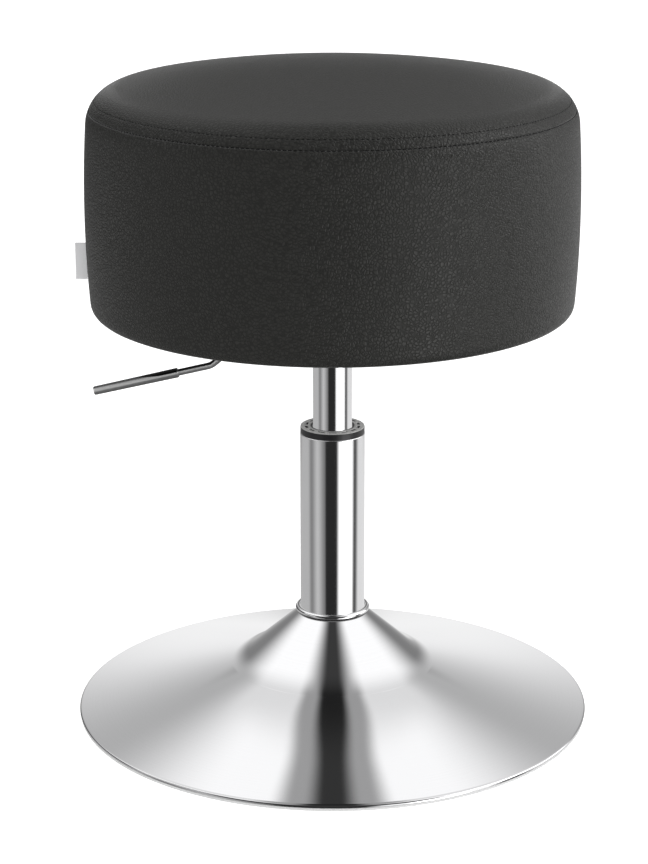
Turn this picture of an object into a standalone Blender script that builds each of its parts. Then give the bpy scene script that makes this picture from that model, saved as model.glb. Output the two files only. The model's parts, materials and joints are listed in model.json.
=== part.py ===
"""Height-adjustable swivel stool: a round drum seat on a gas-lift column with a trumpet base.

Metres, +Z up. The stool stands on the floor at z = 0 with its column on the Z axis. The release
lever points to -X. Pieces hang on empties that lie on the joint axes they turn or slide about.
"""

import math

import bmesh
import bpy
from mathutils import Matrix

# Clearances: GAP parts pieces that touch on the real stool, WELD joins points that coincide.
GAP = 0.0003
WELD = 1e-6

# Facets round a turn.
WIDE_SIDES = 48
COLUMN_SIDES = 28
SMALL_SIDES = 16
FINE_SIDES = 12
SHARP_ANGLE = math.radians(35)

# Steps along the cover's outline: its outer faces have twice as many as its lining and the foam.
FACE_STEPS = 2
LINING_STEPS = 1

# Trumpet base: a steep cone under the column that runs out into a shallow dish.
RIM_RADIUS = 0.200
RIM_DROP = 0.0016
RIM_ROUND = 0.0014
SHELL_WALL = 0.0018
NECK_RADIUS = 0.0275
NECK_HEIGHT = 0.079
CONE_RADIUS = 0.0705
CONE_SLOPE = 0.88
CONE_BLEND = 0.005
BEND_REACH = 0.015
FOOT_HEIGHT = 0.0025
FOOT_WIDTH = 0.0140
FOOT_SETBACK = 0.0005
FOOT_CHAMFER = 0.0006
BALLAST_WALL = 0.0025
BALLAST_HOLE_RADIUS = 0.0180
HUB_WALL = 0.0025

# Outer column tube, its trim ring, guide and collar.
TUBE_RADIUS = 0.0250
TUBE_WALL = 0.0015
TUBE_BOTTOM = 0.0125
TUBE_TOP = 0.2250
TUBE_FOOT_RADIUS = 0.0240
TUBE_LIP_RADIUS = 0.0165
TRIM_WIDTH = 0.0036
TRIM_BEAD_RADIUS = 0.0022
TRIM_FOOT = 0.0005
COLLAR_HEIGHT = 0.0052
COLLAR_SKIRT = 0.0080
COLLAR_SETBACK = 0.0002
COLLAR_BORE_GAP = 0.0006
COLLAR_CHAMFER = 0.0004
COLLAR_SLOTS = 14
COLLAR_SLOT_RADIUS = 0.0204
COLLAR_SLOT_LENGTH = 0.0060
COLLAR_SLOT_WIDTH = 0.0013
COLLAR_SLOT_DEPTH = 0.0022
BUSH_LENGTH = 0.0750
END_PLATE_WALL = 0.0040

# Thrust bearing under the piston rod, and the clip that holds the rod down.
RACE_RADIUS = 0.0128
RACE_WALL = 0.0020
BALL_RADIUS = 0.0019
BALL_COUNT = 8
BALL_PITCH_RADIUS = 0.0092
CAGE_WALL = 0.0014
CAGE_WIDTH = 0.0060
WASHER_RADIUS = 0.0090
WASHER_WALL = 0.0016
CLIP_RADIUS = 0.0070
CLIP_WALL = 0.0012
CLIP_MOUTH_ANGLE = math.radians(70)
CLIP_GROOVE_DEPTH = 0.0010
BUMP_RADIUS = 0.0110
BUMP_HEIGHT = 0.0070
BUMP_CHAMFER = 0.0010
BUMP_WAIST = 0.0008

# Gas spring and its travel from the height in the photograph.
LIFT_DOWN = 0.050
LIFT_UP = 0.070
ROD_RADIUS = 0.0050
ROD_END_RADIUS = 0.0040
ROD_TAIL = 0.0022
CYLINDER_RADIUS = 0.0150
CYLINDER_WALL = 0.0015
CYLINDER_LIP = 0.0015
CYLINDER_TOP = 0.3080
CYLINDER_TOP_RADIUS = 0.0138
CYLINDER_MOUTH_RADIUS = 0.0085
SEAL_HEIGHT = 0.0040
ROD_GUIDE_HEIGHT = 0.0120
PISTON_HEIGHT = 0.0120
PISTON_CLEARANCE = 0.0009
PISTON_RING_HEIGHT = 0.0036
PISTON_RING_DEPTH = 0.0022
RIVET_RADIUS = 0.0056
RIVET_TOP_RADIUS = 0.0034
RIVET_HEIGHT = 0.0020
VALVE_LENGTH = 0.0240
VALVE_PIN_RADIUS = 0.0034
VALVE_PIN_DOME = 0.0014
VALVE_PIN_LENGTH = 0.0290

# Pressed seat plate with its pan, the taper socket and the four bolts.
PLATE_SIDE = 0.1650
PLATE_CORNER = 0.0140
PLATE_WALL = 0.0025
PAN_DEPTH = 0.0302
PAN_FLOOR_RADIUS = 0.0500
PAN_MOUTH_RADIUS = 0.0580
SOCKET_RADIUS = 0.0195
SOCKET_BELOW_PAN = 0.0080
SOCKET_TOP_DROP = 0.0025
BOLT_SPACING = 0.1250
BOLT_RADIUS = 0.0030
BOLT_HEAD_RADIUS = 0.0060
BOLT_HEAD_TOP_RADIUS = 0.0045
BOLT_HEAD_HEIGHT = 0.0036
BOLT_SOCKET_RADIUS = 0.0022
BOLT_SOCKET_DEPTH = 0.0020
BOLT_WASHER_RADIUS = 0.0080
BOLT_WASHER_WALL = 0.0014
NUT_BARREL_RADIUS = 0.0044
NUT_BARREL_LENGTH = 0.0090
NUT_FLANGE_RADIUS = 0.0090
NUT_FLANGE_WALL = 0.0016

# Release lever: level inside the pan, then down and out to the grip.
LEVER_RADIUS = 0.0026
LEVER_END = 0.0060
LEVER_PIVOT = 0.0400
LEVER_KNEE = 0.0480
LEVER_BEND = 0.0925
LEVER_BEND_DROP = 0.0382
LEVER_BEND_ROUND = 0.0120
LEVER_DROOP = math.radians(12.7)
LEVER_REACH = 0.0860
LEVER_SLOT_CLEAR = 0.0050
LEVER_SLOT_SIDE = 0.0015
LEVER_HEADROOM = 0.0016
PIVOT_RADIUS = 0.0025
PIVOT_LENGTH = 0.0160
BRACKET_WALL = 0.0020
BRACKET_LENGTH = 0.0110
BRACKET_GAP = 0.0092
BRACKET_EAR = 0.0042
GRIP_START = 0.0262
GRIP_LENGTH = 0.0666
GRIP_RADIUS = 0.0038
GRIP_TIP_RADIUS = 0.0034
GRIP_TIP_ROUND = 0.0012

# Drum seat: outside form of the sewn cover, with board and foam inside it.
SEAT_BOTTOM = 0.3246
SEAT_SHOULDER = 0.4938
SEAT_FOOT_RADIUS = 0.1828
SEAT_HEAD_RADIUS = 0.1831
SEAT_BULGE = 0.0024
SEAT_BOTTOM_ROUND = 0.0076
SEAT_TOP_ROUND = 0.0285
SEAT_CROWN = 0.0144
SEAM_ANGLE = math.radians(24)
SEAM_DIP = 0.0007
COVER_WALL = 0.0014
HEM_WIDTH = 0.0240
BOARD_WALL = 0.0150
DUST_WALL = 0.0008
DUST_OVERLAP = 0.0080
LABEL_CENTRE = 0.3600
LABEL_HEIGHT = 0.0280
LABEL_WIDTH = 0.0090
LABEL_WALL = 0.0010


# Tools shared by the pieces.


def clear_scene():
    """Takes every object out of the file, so that only the stool is in it."""
    for thing in list(bpy.data.objects):
        bpy.data.objects.remove(thing, do_unlink=True)


def finish(name, colour, roughness, metallic=0.0):
    """A plain Principled material."""
    material = bpy.data.materials.new(name)
    material.use_nodes = True
    shader = material.node_tree.nodes["Principled BSDF"]
    shader.inputs["Base Color"].default_value = (*colour, 1.0)
    shader.inputs["Roughness"].default_value = roughness
    shader.inputs["Metallic"].default_value = metallic
    return material


def axis_empty(name, location=(0.0, 0.0, 0.0), carrier=None):
    """An empty on a joint's axis, placed in the stool's frame."""
    empty = bpy.data.objects.new(name, None)
    bpy.context.scene.collection.objects.link(empty)
    empty.parent = carrier
    empty.location = location
    return empty


def add_piece(name, bm, material, carrier):
    """One closed object from a bmesh, shaded smooth between its sharp edges."""
    bmesh.ops.remove_doubles(bm, verts=bm.verts, dist=WELD)
    bmesh.ops.recalc_face_normals(bm, faces=bm.faces)
    mesh = bpy.data.meshes.new(name)
    bm.to_mesh(mesh)
    bm.free()
    mesh.shade_smooth()
    mesh.set_sharp_from_angle(angle=SHARP_ANGLE)
    mesh.materials.append(material)
    piece = bpy.data.objects.new(name, mesh)
    bpy.context.scene.collection.objects.link(piece)
    piece.parent = carrier
    return piece


def turned(outline, sides):
    """A (radius, height) outline spun about Z. An outline that starts and ends on the axis is solid."""
    bm = bmesh.new()
    points = [bm.verts.new((radius, 0.0, height)) for radius, height in outline]
    lines = [bm.edges.new(pair) for pair in zip(points, points[1:])]
    if outline[0][0] > 0 or outline[-1][0] > 0:
        lines.append(bm.edges.new((points[-1], points[0])))
    bmesh.ops.spin(
        bm,
        geom=points + lines,
        cent=(0.0, 0.0, 0.0),
        axis=(0.0, 0.0, 1.0),
        angle=math.tau,
        steps=sides,
        use_merge=True,
    )
    return bm


def ring_outline(inner, outer, bottom, top):
    """Square cross-section of a plain ring."""
    return [(outer, top), (outer, bottom), (inner, bottom), (inner, top)]


def extruded(outline, way):
    """A flat outline of 3-D points drawn out along a vector."""
    bm = bmesh.new()
    face = bm.faces.new([bm.verts.new(point) for point in outline])
    drawn = bmesh.ops.extrude_face_region(bm, geom=[face])
    ends = [part for part in drawn["geom"] if isinstance(part, bmesh.types.BMVert)]
    bmesh.ops.translate(bm, verts=ends, vec=way)
    return bm


def lofted(loops):
    """A closed skin through loops of equally many points, the last joined to the first."""
    bm = bmesh.new()
    rings = [[bm.verts.new(point) for point in loop] for loop in loops]
    for ring, other in zip(rings, rings[1:] + rings[:1]):
        for i in range(len(ring)):
            j = (i + 1) % len(ring)
            bm.faces.new((ring[i], ring[j], other[j], other[i]))
    return bm


def joined(parts):
    """Several bmeshes in one, for a cutter with many bodies."""
    bm = bmesh.new()
    for part in parts:
        mesh = bpy.data.meshes.new("joined")
        part.to_mesh(mesh)
        part.free()
        bm.from_mesh(mesh)
        bpy.data.meshes.remove(mesh)
    return bm


def moved(bm, offset):
    """The same bmesh, shifted."""
    bmesh.ops.translate(bm, verts=bm.verts, vec=offset)
    return bm


def cut(piece, name, bm):
    """Takes a hidden cutter's shape out of a piece."""
    cutter = add_piece(name, bm, piece.data.materials[0], piece.parent)
    cutter.hide_render = True
    cutter.display_type = "WIRE"
    modifier = piece.modifiers.new(name, "BOOLEAN")
    modifier.operation = "DIFFERENCE"
    modifier.solver = "EXACT"
    modifier.object = cutter


def arc(centre, radius, start, end, steps):
    """Points on a circle in the (radius, height) plane, from one angle to another."""
    angles = [start + (end - start) * i / steps for i in range(steps + 1)]
    return [(centre[0] + radius * math.cos(a), centre[1] + radius * math.sin(a)) for a in angles]


def steps_between(start, end, steps):
    """Equally spaced values from start to end, both included."""
    return [start + (end - start) * i / steps for i in range(steps + 1)]


clear_scene()

SATIN_STEEL = finish("satin_steel", (0.62, 0.62, 0.63), 0.28, 1.0)
CHROME = finish("chrome", (0.80, 0.80, 0.82), 0.08, 1.0)
PLAIN_STEEL = finish("plain_steel", (0.45, 0.45, 0.46), 0.40, 1.0)
BLACK_PAINT = finish("black_paint", (0.02, 0.02, 0.02), 0.45)
BLACK_PLASTIC = finish("black_plastic", (0.03, 0.03, 0.03), 0.35)
WHITE_PLASTIC = finish("white_plastic", (0.75, 0.75, 0.72), 0.50)
RUBBER = finish("rubber", (0.03, 0.03, 0.03), 0.85)
GREY_VINYL = finish("grey_vinyl", (0.45, 0.45, 0.45), 0.50)
LEATHER = finish("black_leather", (0.035, 0.035, 0.036), 0.50)
FOAM = finish("foam", (0.85, 0.80, 0.60), 0.95)
PLYWOOD = finish("plywood", (0.58, 0.43, 0.27), 0.70)
FELT = finish("black_felt", (0.02, 0.02, 0.02), 0.95)
WHITE_TAPE = finish("white_tape", (0.85, 0.85, 0.85), 0.80)

STAND = axis_empty("stand")
SWIVEL = axis_empty("swivel_axis", carrier=STAND)
BALL_RING = axis_empty("ball_ring_axis", carrier=STAND)
LIFT = axis_empty("lift_axis", carrier=SWIVEL)
VALVE = axis_empty("valve_axis", carrier=LIFT)


# Trumpet base

EDGE_BOTTOM = FOOT_HEIGHT + GAP
EDGE_CORNER = EDGE_BOTTOM + RIM_DROP


def cone_rise(radius):
    """Height of the blended cone per unit of extra slope: a ramp that starts softly at CONE_RADIUS."""
    ramp = math.log1p(math.exp((CONE_RADIUS - radius) / CONE_BLEND))
    start = math.log1p(math.exp((CONE_RADIUS - RIM_RADIUS) / CONE_BLEND))
    return CONE_BLEND * (ramp - start)


def dish_slope():
    """Slope of the outer dish that brings the cone's top to the neck's height."""
    rise = NECK_HEIGHT - EDGE_CORNER
    cone = cone_rise(NECK_RADIUS)
    return (rise - CONE_SLOPE * cone) / (RIM_RADIUS - NECK_RADIUS - cone)


DISH_SLOPE = dish_slope()


def shell_height(radius):
    """Outside of the base: the dish plus the cone that stands out of it."""
    dish = DISH_SLOPE * (RIM_RADIUS - radius)
    return EDGE_CORNER + dish + (CONE_SLOPE - DISH_SLOPE) * cone_rise(radius)


def shell_slope(radius):
    """How steeply the outside falls at a radius."""
    share = 1.0 / (1.0 + math.exp((radius - CONE_RADIUS) / CONE_BLEND))
    return DISH_SLOPE + (CONE_SLOPE - DISH_SLOPE) * share


def shell_inside(radius):
    """Inside of the base, one wall below the outside."""
    return shell_height(radius) - SHELL_WALL * math.hypot(1.0, shell_slope(radius))


def shell_radii(inner, outer):
    """Radii for the outline, closest together where the cone bends into the dish."""
    bend_start = CONE_RADIUS - BEND_REACH
    bend_end = CONE_RADIUS + BEND_REACH
    return [inner] + steps_between(bend_start, bend_end, 6) + [0.5 * (bend_end + outer), outer]


def base_shell():
    lean = math.atan2(1.0, DISH_SLOPE)
    start = RIM_RADIUS - RIM_ROUND * (1.0 - math.cos(lean))
    centre = (RIM_RADIUS - RIM_ROUND, shell_height(start) - RIM_ROUND * math.sin(lean))
    outside = [(r, shell_height(r)) for r in shell_radii(NECK_RADIUS, start)[:-1]]
    edge = arc(centre, RIM_ROUND, lean, 0.0, 4)
    lip = RIM_RADIUS - SHELL_WALL
    hole = TUBE_RADIUS + GAP
    inside = [(r, shell_inside(r)) for r in reversed(shell_radii(NECK_RADIUS, lip))]
    underside = [(RIM_RADIUS, EDGE_BOTTOM), (lip, EDGE_BOTTOM)]
    mouth = [(hole, shell_inside(hole)), (hole, NECK_HEIGHT)]
    outline = outside + edge + underside + inside + mouth
    add_piece("base_shell", turned(outline, WIDE_SIDES), SATIN_STEEL, STAND)


def floor_ring():
    outer = RIM_RADIUS - FOOT_SETBACK
    inner = outer - FOOT_WIDTH
    outline = [
        (outer - FOOT_CHAMFER, FOOT_HEIGHT),
        (outer, FOOT_HEIGHT - FOOT_CHAMFER),
        (outer, FOOT_CHAMFER),
        (outer - FOOT_CHAMFER, 0.0),
        (inner, 0.0),
        (inner, FOOT_HEIGHT),
    ]
    add_piece("floor_ring", turned(outline, WIDE_SIDES), GREY_VINYL, STAND)


BALLAST_TOP = EDGE_BOTTOM + BALLAST_WALL


def ballast_plate():
    """Disc on the floor ring, out to where the dish comes down to it."""
    clear = BALLAST_TOP + GAP + SHELL_WALL * math.hypot(1.0, DISH_SLOPE) - EDGE_CORNER
    outer = RIM_RADIUS - clear / DISH_SLOPE
    outline = ring_outline(BALLAST_HOLE_RADIUS, outer, EDGE_BOTTOM, BALLAST_TOP)
    add_piece("ballast_plate", turned(outline, WIDE_SIDES), PLAIN_STEEL, STAND)


def tube_radius(height):
    """Outside of the column tube: straight above the base, tapered inside it."""
    share = min(1.0, (height - TUBE_BOTTOM) / (NECK_HEIGHT - TUBE_BOTTOM))
    return TUBE_FOOT_RADIUS + (TUBE_RADIUS - TUBE_FOOT_RADIUS) * share


def hub_socket():
    outer = TUBE_RADIUS + GAP + HUB_WALL
    top = shell_inside(outer) - GAP
    bottom = BALLAST_TOP + GAP
    outline = [
        (outer, top),
        (outer, bottom),
        (tube_radius(TUBE_BOTTOM) + GAP, bottom),
        (tube_radius(TUBE_BOTTOM) + GAP, TUBE_BOTTOM),
        (tube_radius(top) + GAP, top),
    ]
    add_piece("hub_socket", turned(outline, COLUMN_SIDES), PLAIN_STEEL, STAND)


# Column tube with its ring, guide and collar


def trim_ring():
    """A round bead on a low, narrower foot."""
    bottom = NECK_HEIGHT + GAP
    foot = bottom + TRIM_FOOT
    inner = TUBE_RADIUS + GAP
    outer = inner + TRIM_WIDTH
    centre = (outer - TRIM_BEAD_RADIUS, foot + TRIM_BEAD_RADIUS)
    outline = arc(centre, TRIM_BEAD_RADIUS, math.pi / 2, -math.pi / 2, 6)
    outline += [(centre[0], bottom), (inner, bottom), (inner, centre[1] + TRIM_BEAD_RADIUS)]
    add_piece("trim_ring", turned(outline, COLUMN_SIDES), CHROME, STAND)


def column_tube():
    """Tapered foot with an inward lip that carries the end plate."""
    lip_top = TUBE_BOTTOM + TUBE_WALL
    outline = [
        (TUBE_RADIUS, TUBE_TOP),
        (TUBE_RADIUS, NECK_HEIGHT),
        (TUBE_FOOT_RADIUS, TUBE_BOTTOM),
        (TUBE_LIP_RADIUS, TUBE_BOTTOM),
        (TUBE_LIP_RADIUS, lip_top),
        (tube_radius(lip_top) - TUBE_WALL, lip_top),
        (TUBE_RADIUS - TUBE_WALL, NECK_HEIGHT),
        (TUBE_RADIUS - TUBE_WALL, TUBE_TOP),
    ]
    add_piece("column_tube", turned(outline, COLUMN_SIDES), CHROME, STAND)


END_PLATE_BOTTOM = TUBE_BOTTOM + TUBE_WALL + GAP
END_PLATE_TOP = END_PLATE_BOTTOM + END_PLATE_WALL
ROD_HOLE = ROD_END_RADIUS + GAP


def tube_end_plate():
    outer = tube_radius(END_PLATE_BOTTOM) - TUBE_WALL - GAP
    outline = ring_outline(ROD_HOLE, outer, END_PLATE_BOTTOM, END_PLATE_TOP)
    add_piece("tube_end_plate", turned(outline, COLUMN_SIDES), PLAIN_STEEL, STAND)


COLLAR_TOP = TUBE_TOP + GAP + COLLAR_HEIGHT
COLLAR_SKIRT_BOTTOM = TUBE_TOP - COLLAR_SKIRT


def collar_slots():
    """Dashes moulded into the collar's top face, spaced evenly round it."""
    bodies = []
    for i in range(COLLAR_SLOTS):
        middle = math.tau * (i + 0.5) / COLLAR_SLOTS
        half = 0.5 * COLLAR_SLOT_LENGTH / COLLAR_SLOT_RADIUS
        outer = COLLAR_SLOT_RADIUS + 0.5 * COLLAR_SLOT_WIDTH
        inner = COLLAR_SLOT_RADIUS - 0.5 * COLLAR_SLOT_WIDTH
        plan = arc((0.0, 0.0), outer, middle - half, middle + half, 2)
        plan += arc((0.0, 0.0), inner, middle + half, middle - half, 2)
        floor = COLLAR_TOP - COLLAR_SLOT_DEPTH
        base = [(x, y, floor) for x, y in plan]
        bodies.append(extruded(base, (0.0, 0.0, 2 * COLLAR_SLOT_DEPTH)))
    return joined(bodies)


def column_collar():
    outer = TUBE_RADIUS - COLLAR_SETBACK
    skirt = TUBE_RADIUS - TUBE_WALL - GAP
    bore = CYLINDER_RADIUS + COLLAR_BORE_GAP
    seat = TUBE_TOP + GAP
    outline = [
        (outer - 0.5 * COLLAR_CHAMFER, COLLAR_TOP),
        (outer, COLLAR_TOP - 0.5 * COLLAR_CHAMFER),
        (outer, seat),
        (skirt, seat),
        (skirt, COLLAR_SKIRT_BOTTOM),
        (bore, COLLAR_SKIRT_BOTTOM),
        (bore, COLLAR_TOP - COLLAR_CHAMFER),
        (bore + COLLAR_CHAMFER, COLLAR_TOP),
    ]
    collar = add_piece("column_collar", turned(outline, COLUMN_SIDES), BLACK_PLASTIC, STAND)
    cut(collar, "collar_slots", collar_slots())


def guide_bush():
    outer = TUBE_RADIUS - TUBE_WALL - GAP
    inner = CYLINDER_RADIUS + GAP
    top = COLLAR_SKIRT_BOTTOM - GAP
    outline = ring_outline(inner, outer, top - BUSH_LENGTH, top)
    add_piece("guide_bush", turned(outline, COLUMN_SIDES), WHITE_PLASTIC, STAND)


# Thrust bearing, from the end plate up

LOWER_RACE_BOTTOM = END_PLATE_TOP + GAP
LOWER_RACE_TOP = LOWER_RACE_BOTTOM + RACE_WALL
BALL_HEIGHT = LOWER_RACE_TOP + GAP + BALL_RADIUS
UPPER_RACE_BOTTOM = BALL_HEIGHT + BALL_RADIUS + GAP
UPPER_RACE_TOP = UPPER_RACE_BOTTOM + RACE_WALL
ROD_SHOULDER = UPPER_RACE_TOP + GAP
BUMP_TOP = ROD_SHOULDER + BUMP_HEIGHT


def race(name, bottom, carrier):
    outline = ring_outline(ROD_HOLE, RACE_RADIUS, bottom, bottom + RACE_WALL)
    add_piece(name, turned(outline, SMALL_SIDES), PLAIN_STEEL, carrier)


def ball_places():
    """Centres of the balls round the bearing."""
    angles = [math.tau * i / BALL_COUNT for i in range(BALL_COUNT)]
    return [(BALL_PITCH_RADIUS * math.cos(a), BALL_PITCH_RADIUS * math.sin(a), BALL_HEIGHT) for a in angles]


def bearing_balls():
    for number, place in enumerate(ball_places(), start=1):
        bm = bmesh.new()
        bmesh.ops.create_icosphere(bm, subdivisions=2, radius=BALL_RADIUS)
        ball = add_piece(f"bearing_ball_{number}", bm, PLAIN_STEEL, BALL_RING)
        ball.location = place


def bearing_cage():
    inner = BALL_PITCH_RADIUS - 0.5 * CAGE_WIDTH
    outer = BALL_PITCH_RADIUS + 0.5 * CAGE_WIDTH
    bottom = BALL_HEIGHT - 0.5 * CAGE_WALL
    outline = ring_outline(inner, outer, bottom, bottom + CAGE_WALL)
    cage = add_piece("bearing_cage", turned(outline, COLUMN_SIDES), BLACK_PLASTIC, BALL_RING)
    pockets = []
    for place in ball_places():
        reach = BALL_RADIUS + GAP
        outline = [(0.0, CAGE_WALL), (reach, CAGE_WALL), (reach, -CAGE_WALL), (0.0, -CAGE_WALL)]
        pockets.append(moved(turned(outline, FINE_SIDES), place))
    cut(cage, "ball_pockets", joined(pockets))


WASHER_TOP = END_PLATE_BOTTOM - GAP
CLIP_TOP = WASHER_TOP - WASHER_WALL - GAP
CLIP_BOTTOM = CLIP_TOP - CLIP_WALL
GROOVE_RADIUS = ROD_END_RADIUS - CLIP_GROOVE_DEPTH


def rod_washer():
    outline = ring_outline(ROD_HOLE, WASHER_RADIUS, WASHER_TOP - WASHER_WALL, WASHER_TOP)
    add_piece("rod_washer", turned(outline, SMALL_SIDES), PLAIN_STEEL, SWIVEL)


def rod_clip():
    """Open ring that snaps into the rod's groove."""
    start = 0.5 * CLIP_MOUTH_ANGLE
    end = math.tau - start
    plan = arc((0.0, 0.0), CLIP_RADIUS, start, end, SMALL_SIDES)
    plan += arc((0.0, 0.0), GROOVE_RADIUS + GAP, end, start, SMALL_SIDES)
    base = [(x, y, CLIP_BOTTOM) for x, y in plan]
    add_piece("rod_clip", extruded(base, (0.0, 0.0, CLIP_WALL)), PLAIN_STEEL, SWIVEL)


def bump_stop():
    """Rubber ring on the upper race that the cylinder lands on at its lowest."""
    waist = 0.5 * (ROD_SHOULDER + BUMP_TOP)
    inner = ROD_RADIUS + GAP
    outline = [
        (BUMP_RADIUS - BUMP_CHAMFER, BUMP_TOP),
        (BUMP_RADIUS, BUMP_TOP - BUMP_CHAMFER),
        (BUMP_RADIUS - BUMP_WAIST, waist),
        (BUMP_RADIUS, ROD_SHOULDER),
        (inner, ROD_SHOULDER),
        (inner, BUMP_TOP),
    ]
    add_piece("bump_stop", turned(outline, SMALL_SIDES), RUBBER, SWIVEL)


# Gas spring: rod and piston stay on the swivel, the cylinder rides up and down with the seat

CYLINDER_BORE = CYLINDER_RADIUS - CYLINDER_WALL
CYLINDER_BOTTOM = BUMP_TOP + GAP + LIFT_DOWN
SEAL_BOTTOM = CYLINDER_BOTTOM + CYLINDER_LIP + GAP
ROD_GUIDE_BOTTOM = SEAL_BOTTOM + SEAL_HEIGHT + GAP
ROD_GUIDE_TOP = ROD_GUIDE_BOTTOM + ROD_GUIDE_HEIGHT
PISTON_BOTTOM = ROD_GUIDE_TOP + GAP + LIFT_UP
PISTON_TOP = PISTON_BOTTOM + PISTON_HEIGHT
PISTON_RADIUS = CYLINDER_BORE - PISTON_CLEARANCE
RING_BOTTOM = PISTON_BOTTOM + 0.5 * (PISTON_HEIGHT - PISTON_RING_HEIGHT)
RING_TOP = RING_BOTTOM + PISTON_RING_HEIGHT
RING_SEAT = PISTON_RADIUS - PISTON_RING_DEPTH


def piston_rod():
    """Stepped at both ends: the clip's groove below, the riveted piston above."""
    groove_top = CLIP_TOP + 0.5 * GAP
    groove_bottom = CLIP_BOTTOM - 0.5 * GAP
    tail = groove_bottom - ROD_TAIL
    piston_seat = PISTON_BOTTOM - GAP
    rivet = PISTON_TOP + GAP
    outline = [
        (0.0, rivet + RIVET_HEIGHT),
        (RIVET_TOP_RADIUS, rivet + RIVET_HEIGHT),
        (RIVET_RADIUS, rivet),
        (ROD_END_RADIUS, rivet),
        (ROD_END_RADIUS, piston_seat),
        (ROD_RADIUS, piston_seat),
        (ROD_RADIUS, ROD_SHOULDER),
        (ROD_END_RADIUS, ROD_SHOULDER),
        (ROD_END_RADIUS, groove_top),
        (GROOVE_RADIUS, groove_top),
        (GROOVE_RADIUS, groove_bottom),
        (ROD_END_RADIUS, groove_bottom),
        (ROD_END_RADIUS, tail),
        (0.0, tail),
    ]
    add_piece("piston_rod", turned(outline, SMALL_SIDES), CHROME, SWIVEL)


def piston():
    outline = [
        (PISTON_RADIUS, PISTON_TOP),
        (PISTON_RADIUS, RING_TOP + GAP),
        (RING_SEAT, RING_TOP + GAP),
        (RING_SEAT, RING_BOTTOM - GAP),
        (PISTON_RADIUS, RING_BOTTOM - GAP),
        (PISTON_RADIUS, PISTON_BOTTOM),
        (ROD_HOLE, PISTON_BOTTOM),
        (ROD_HOLE, PISTON_TOP),
    ]
    add_piece("piston", turned(outline, COLUMN_SIDES), BLACK_PLASTIC, SWIVEL)


def piston_ring():
    outline = ring_outline(RING_SEAT + GAP, CYLINDER_BORE - GAP, RING_BOTTOM, RING_TOP)
    add_piece("piston_ring", turned(outline, COLUMN_SIDES), RUBBER, SWIVEL)


# Seat stack from the cover's underside down to the pan, and the taper in it

DUST_TOP = SEAT_BOTTOM - GAP
DUST_BOTTOM = DUST_TOP - DUST_WALL
PLATE_TOP = DUST_BOTTOM - GAP
PLATE_BOTTOM = PLATE_TOP - PLATE_WALL
PAN_BOTTOM = PLATE_BOTTOM - PAN_DEPTH
PAN_FLOOR = PAN_BOTTOM + PLATE_WALL
SOCKET_BOTTOM = PAN_BOTTOM - SOCKET_BELOW_PAN
SOCKET_TOP = CYLINDER_TOP - SOCKET_TOP_DROP
BOARD_BOTTOM = SEAT_BOTTOM + COVER_WALL + GAP
BOARD_TOP = BOARD_BOTTOM + BOARD_WALL
FOAM_BOTTOM = BOARD_TOP + GAP


def cylinder_radius(height):
    """Outside of the gas cylinder: straight up to the socket's mouth, tapered inside it."""
    share = max(0.0, (height - SOCKET_BOTTOM) / (CYLINDER_TOP - SOCKET_BOTTOM))
    return CYLINDER_RADIUS + (CYLINDER_TOP_RADIUS - CYLINDER_RADIUS) * share


def gas_cylinder():
    """Drawn tube, rolled in over the rod guide below and over the valve above."""
    top_lip = CYLINDER_TOP - CYLINDER_LIP
    bottom_lip = CYLINDER_BOTTOM + CYLINDER_LIP
    outline = [
        (CYLINDER_MOUTH_RADIUS, CYLINDER_TOP),
        (CYLINDER_TOP_RADIUS, CYLINDER_TOP),
        (CYLINDER_RADIUS, SOCKET_BOTTOM),
        (CYLINDER_RADIUS, CYLINDER_BOTTOM),
        (CYLINDER_MOUTH_RADIUS, CYLINDER_BOTTOM),
        (CYLINDER_MOUTH_RADIUS, bottom_lip),
        (CYLINDER_BORE, bottom_lip),
        (CYLINDER_BORE, SOCKET_BOTTOM),
        (cylinder_radius(top_lip) - CYLINDER_WALL, top_lip),
        (CYLINDER_MOUTH_RADIUS, top_lip),
    ]
    add_piece("gas_cylinder", turned(outline, COLUMN_SIDES), CHROME, LIFT)


def rod_seal():
    outline = ring_outline(ROD_RADIUS + GAP, CYLINDER_BORE - GAP, SEAL_BOTTOM, SEAL_BOTTOM + SEAL_HEIGHT)
    add_piece("rod_seal", turned(outline, COLUMN_SIDES), RUBBER, LIFT)


def rod_guide():
    outline = ring_outline(ROD_RADIUS + GAP, CYLINDER_BORE - GAP, ROD_GUIDE_BOTTOM, ROD_GUIDE_TOP)
    add_piece("rod_guide", turned(outline, COLUMN_SIDES), WHITE_PLASTIC, LIFT)


VALVE_TOP = CYLINDER_TOP - CYLINDER_LIP - GAP
VALVE_BOTTOM = VALVE_TOP - VALVE_LENGTH


def valve_body():
    wall = CYLINDER_WALL + GAP
    bore = VALVE_PIN_RADIUS + GAP
    outline = [
        (cylinder_radius(VALVE_TOP) - wall, VALVE_TOP),
        (cylinder_radius(VALVE_BOTTOM) - wall, VALVE_BOTTOM),
        (bore, VALVE_BOTTOM),
        (bore, VALVE_TOP),
    ]
    add_piece("valve_body", turned(outline, COLUMN_SIDES), PLAIN_STEEL, LIFT)


LEVER_HEIGHT = PLATE_BOTTOM - LEVER_HEADROOM - LEVER_RADIUS
VALVE_PIN_TOP = LEVER_HEIGHT - LEVER_RADIUS - GAP


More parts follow.
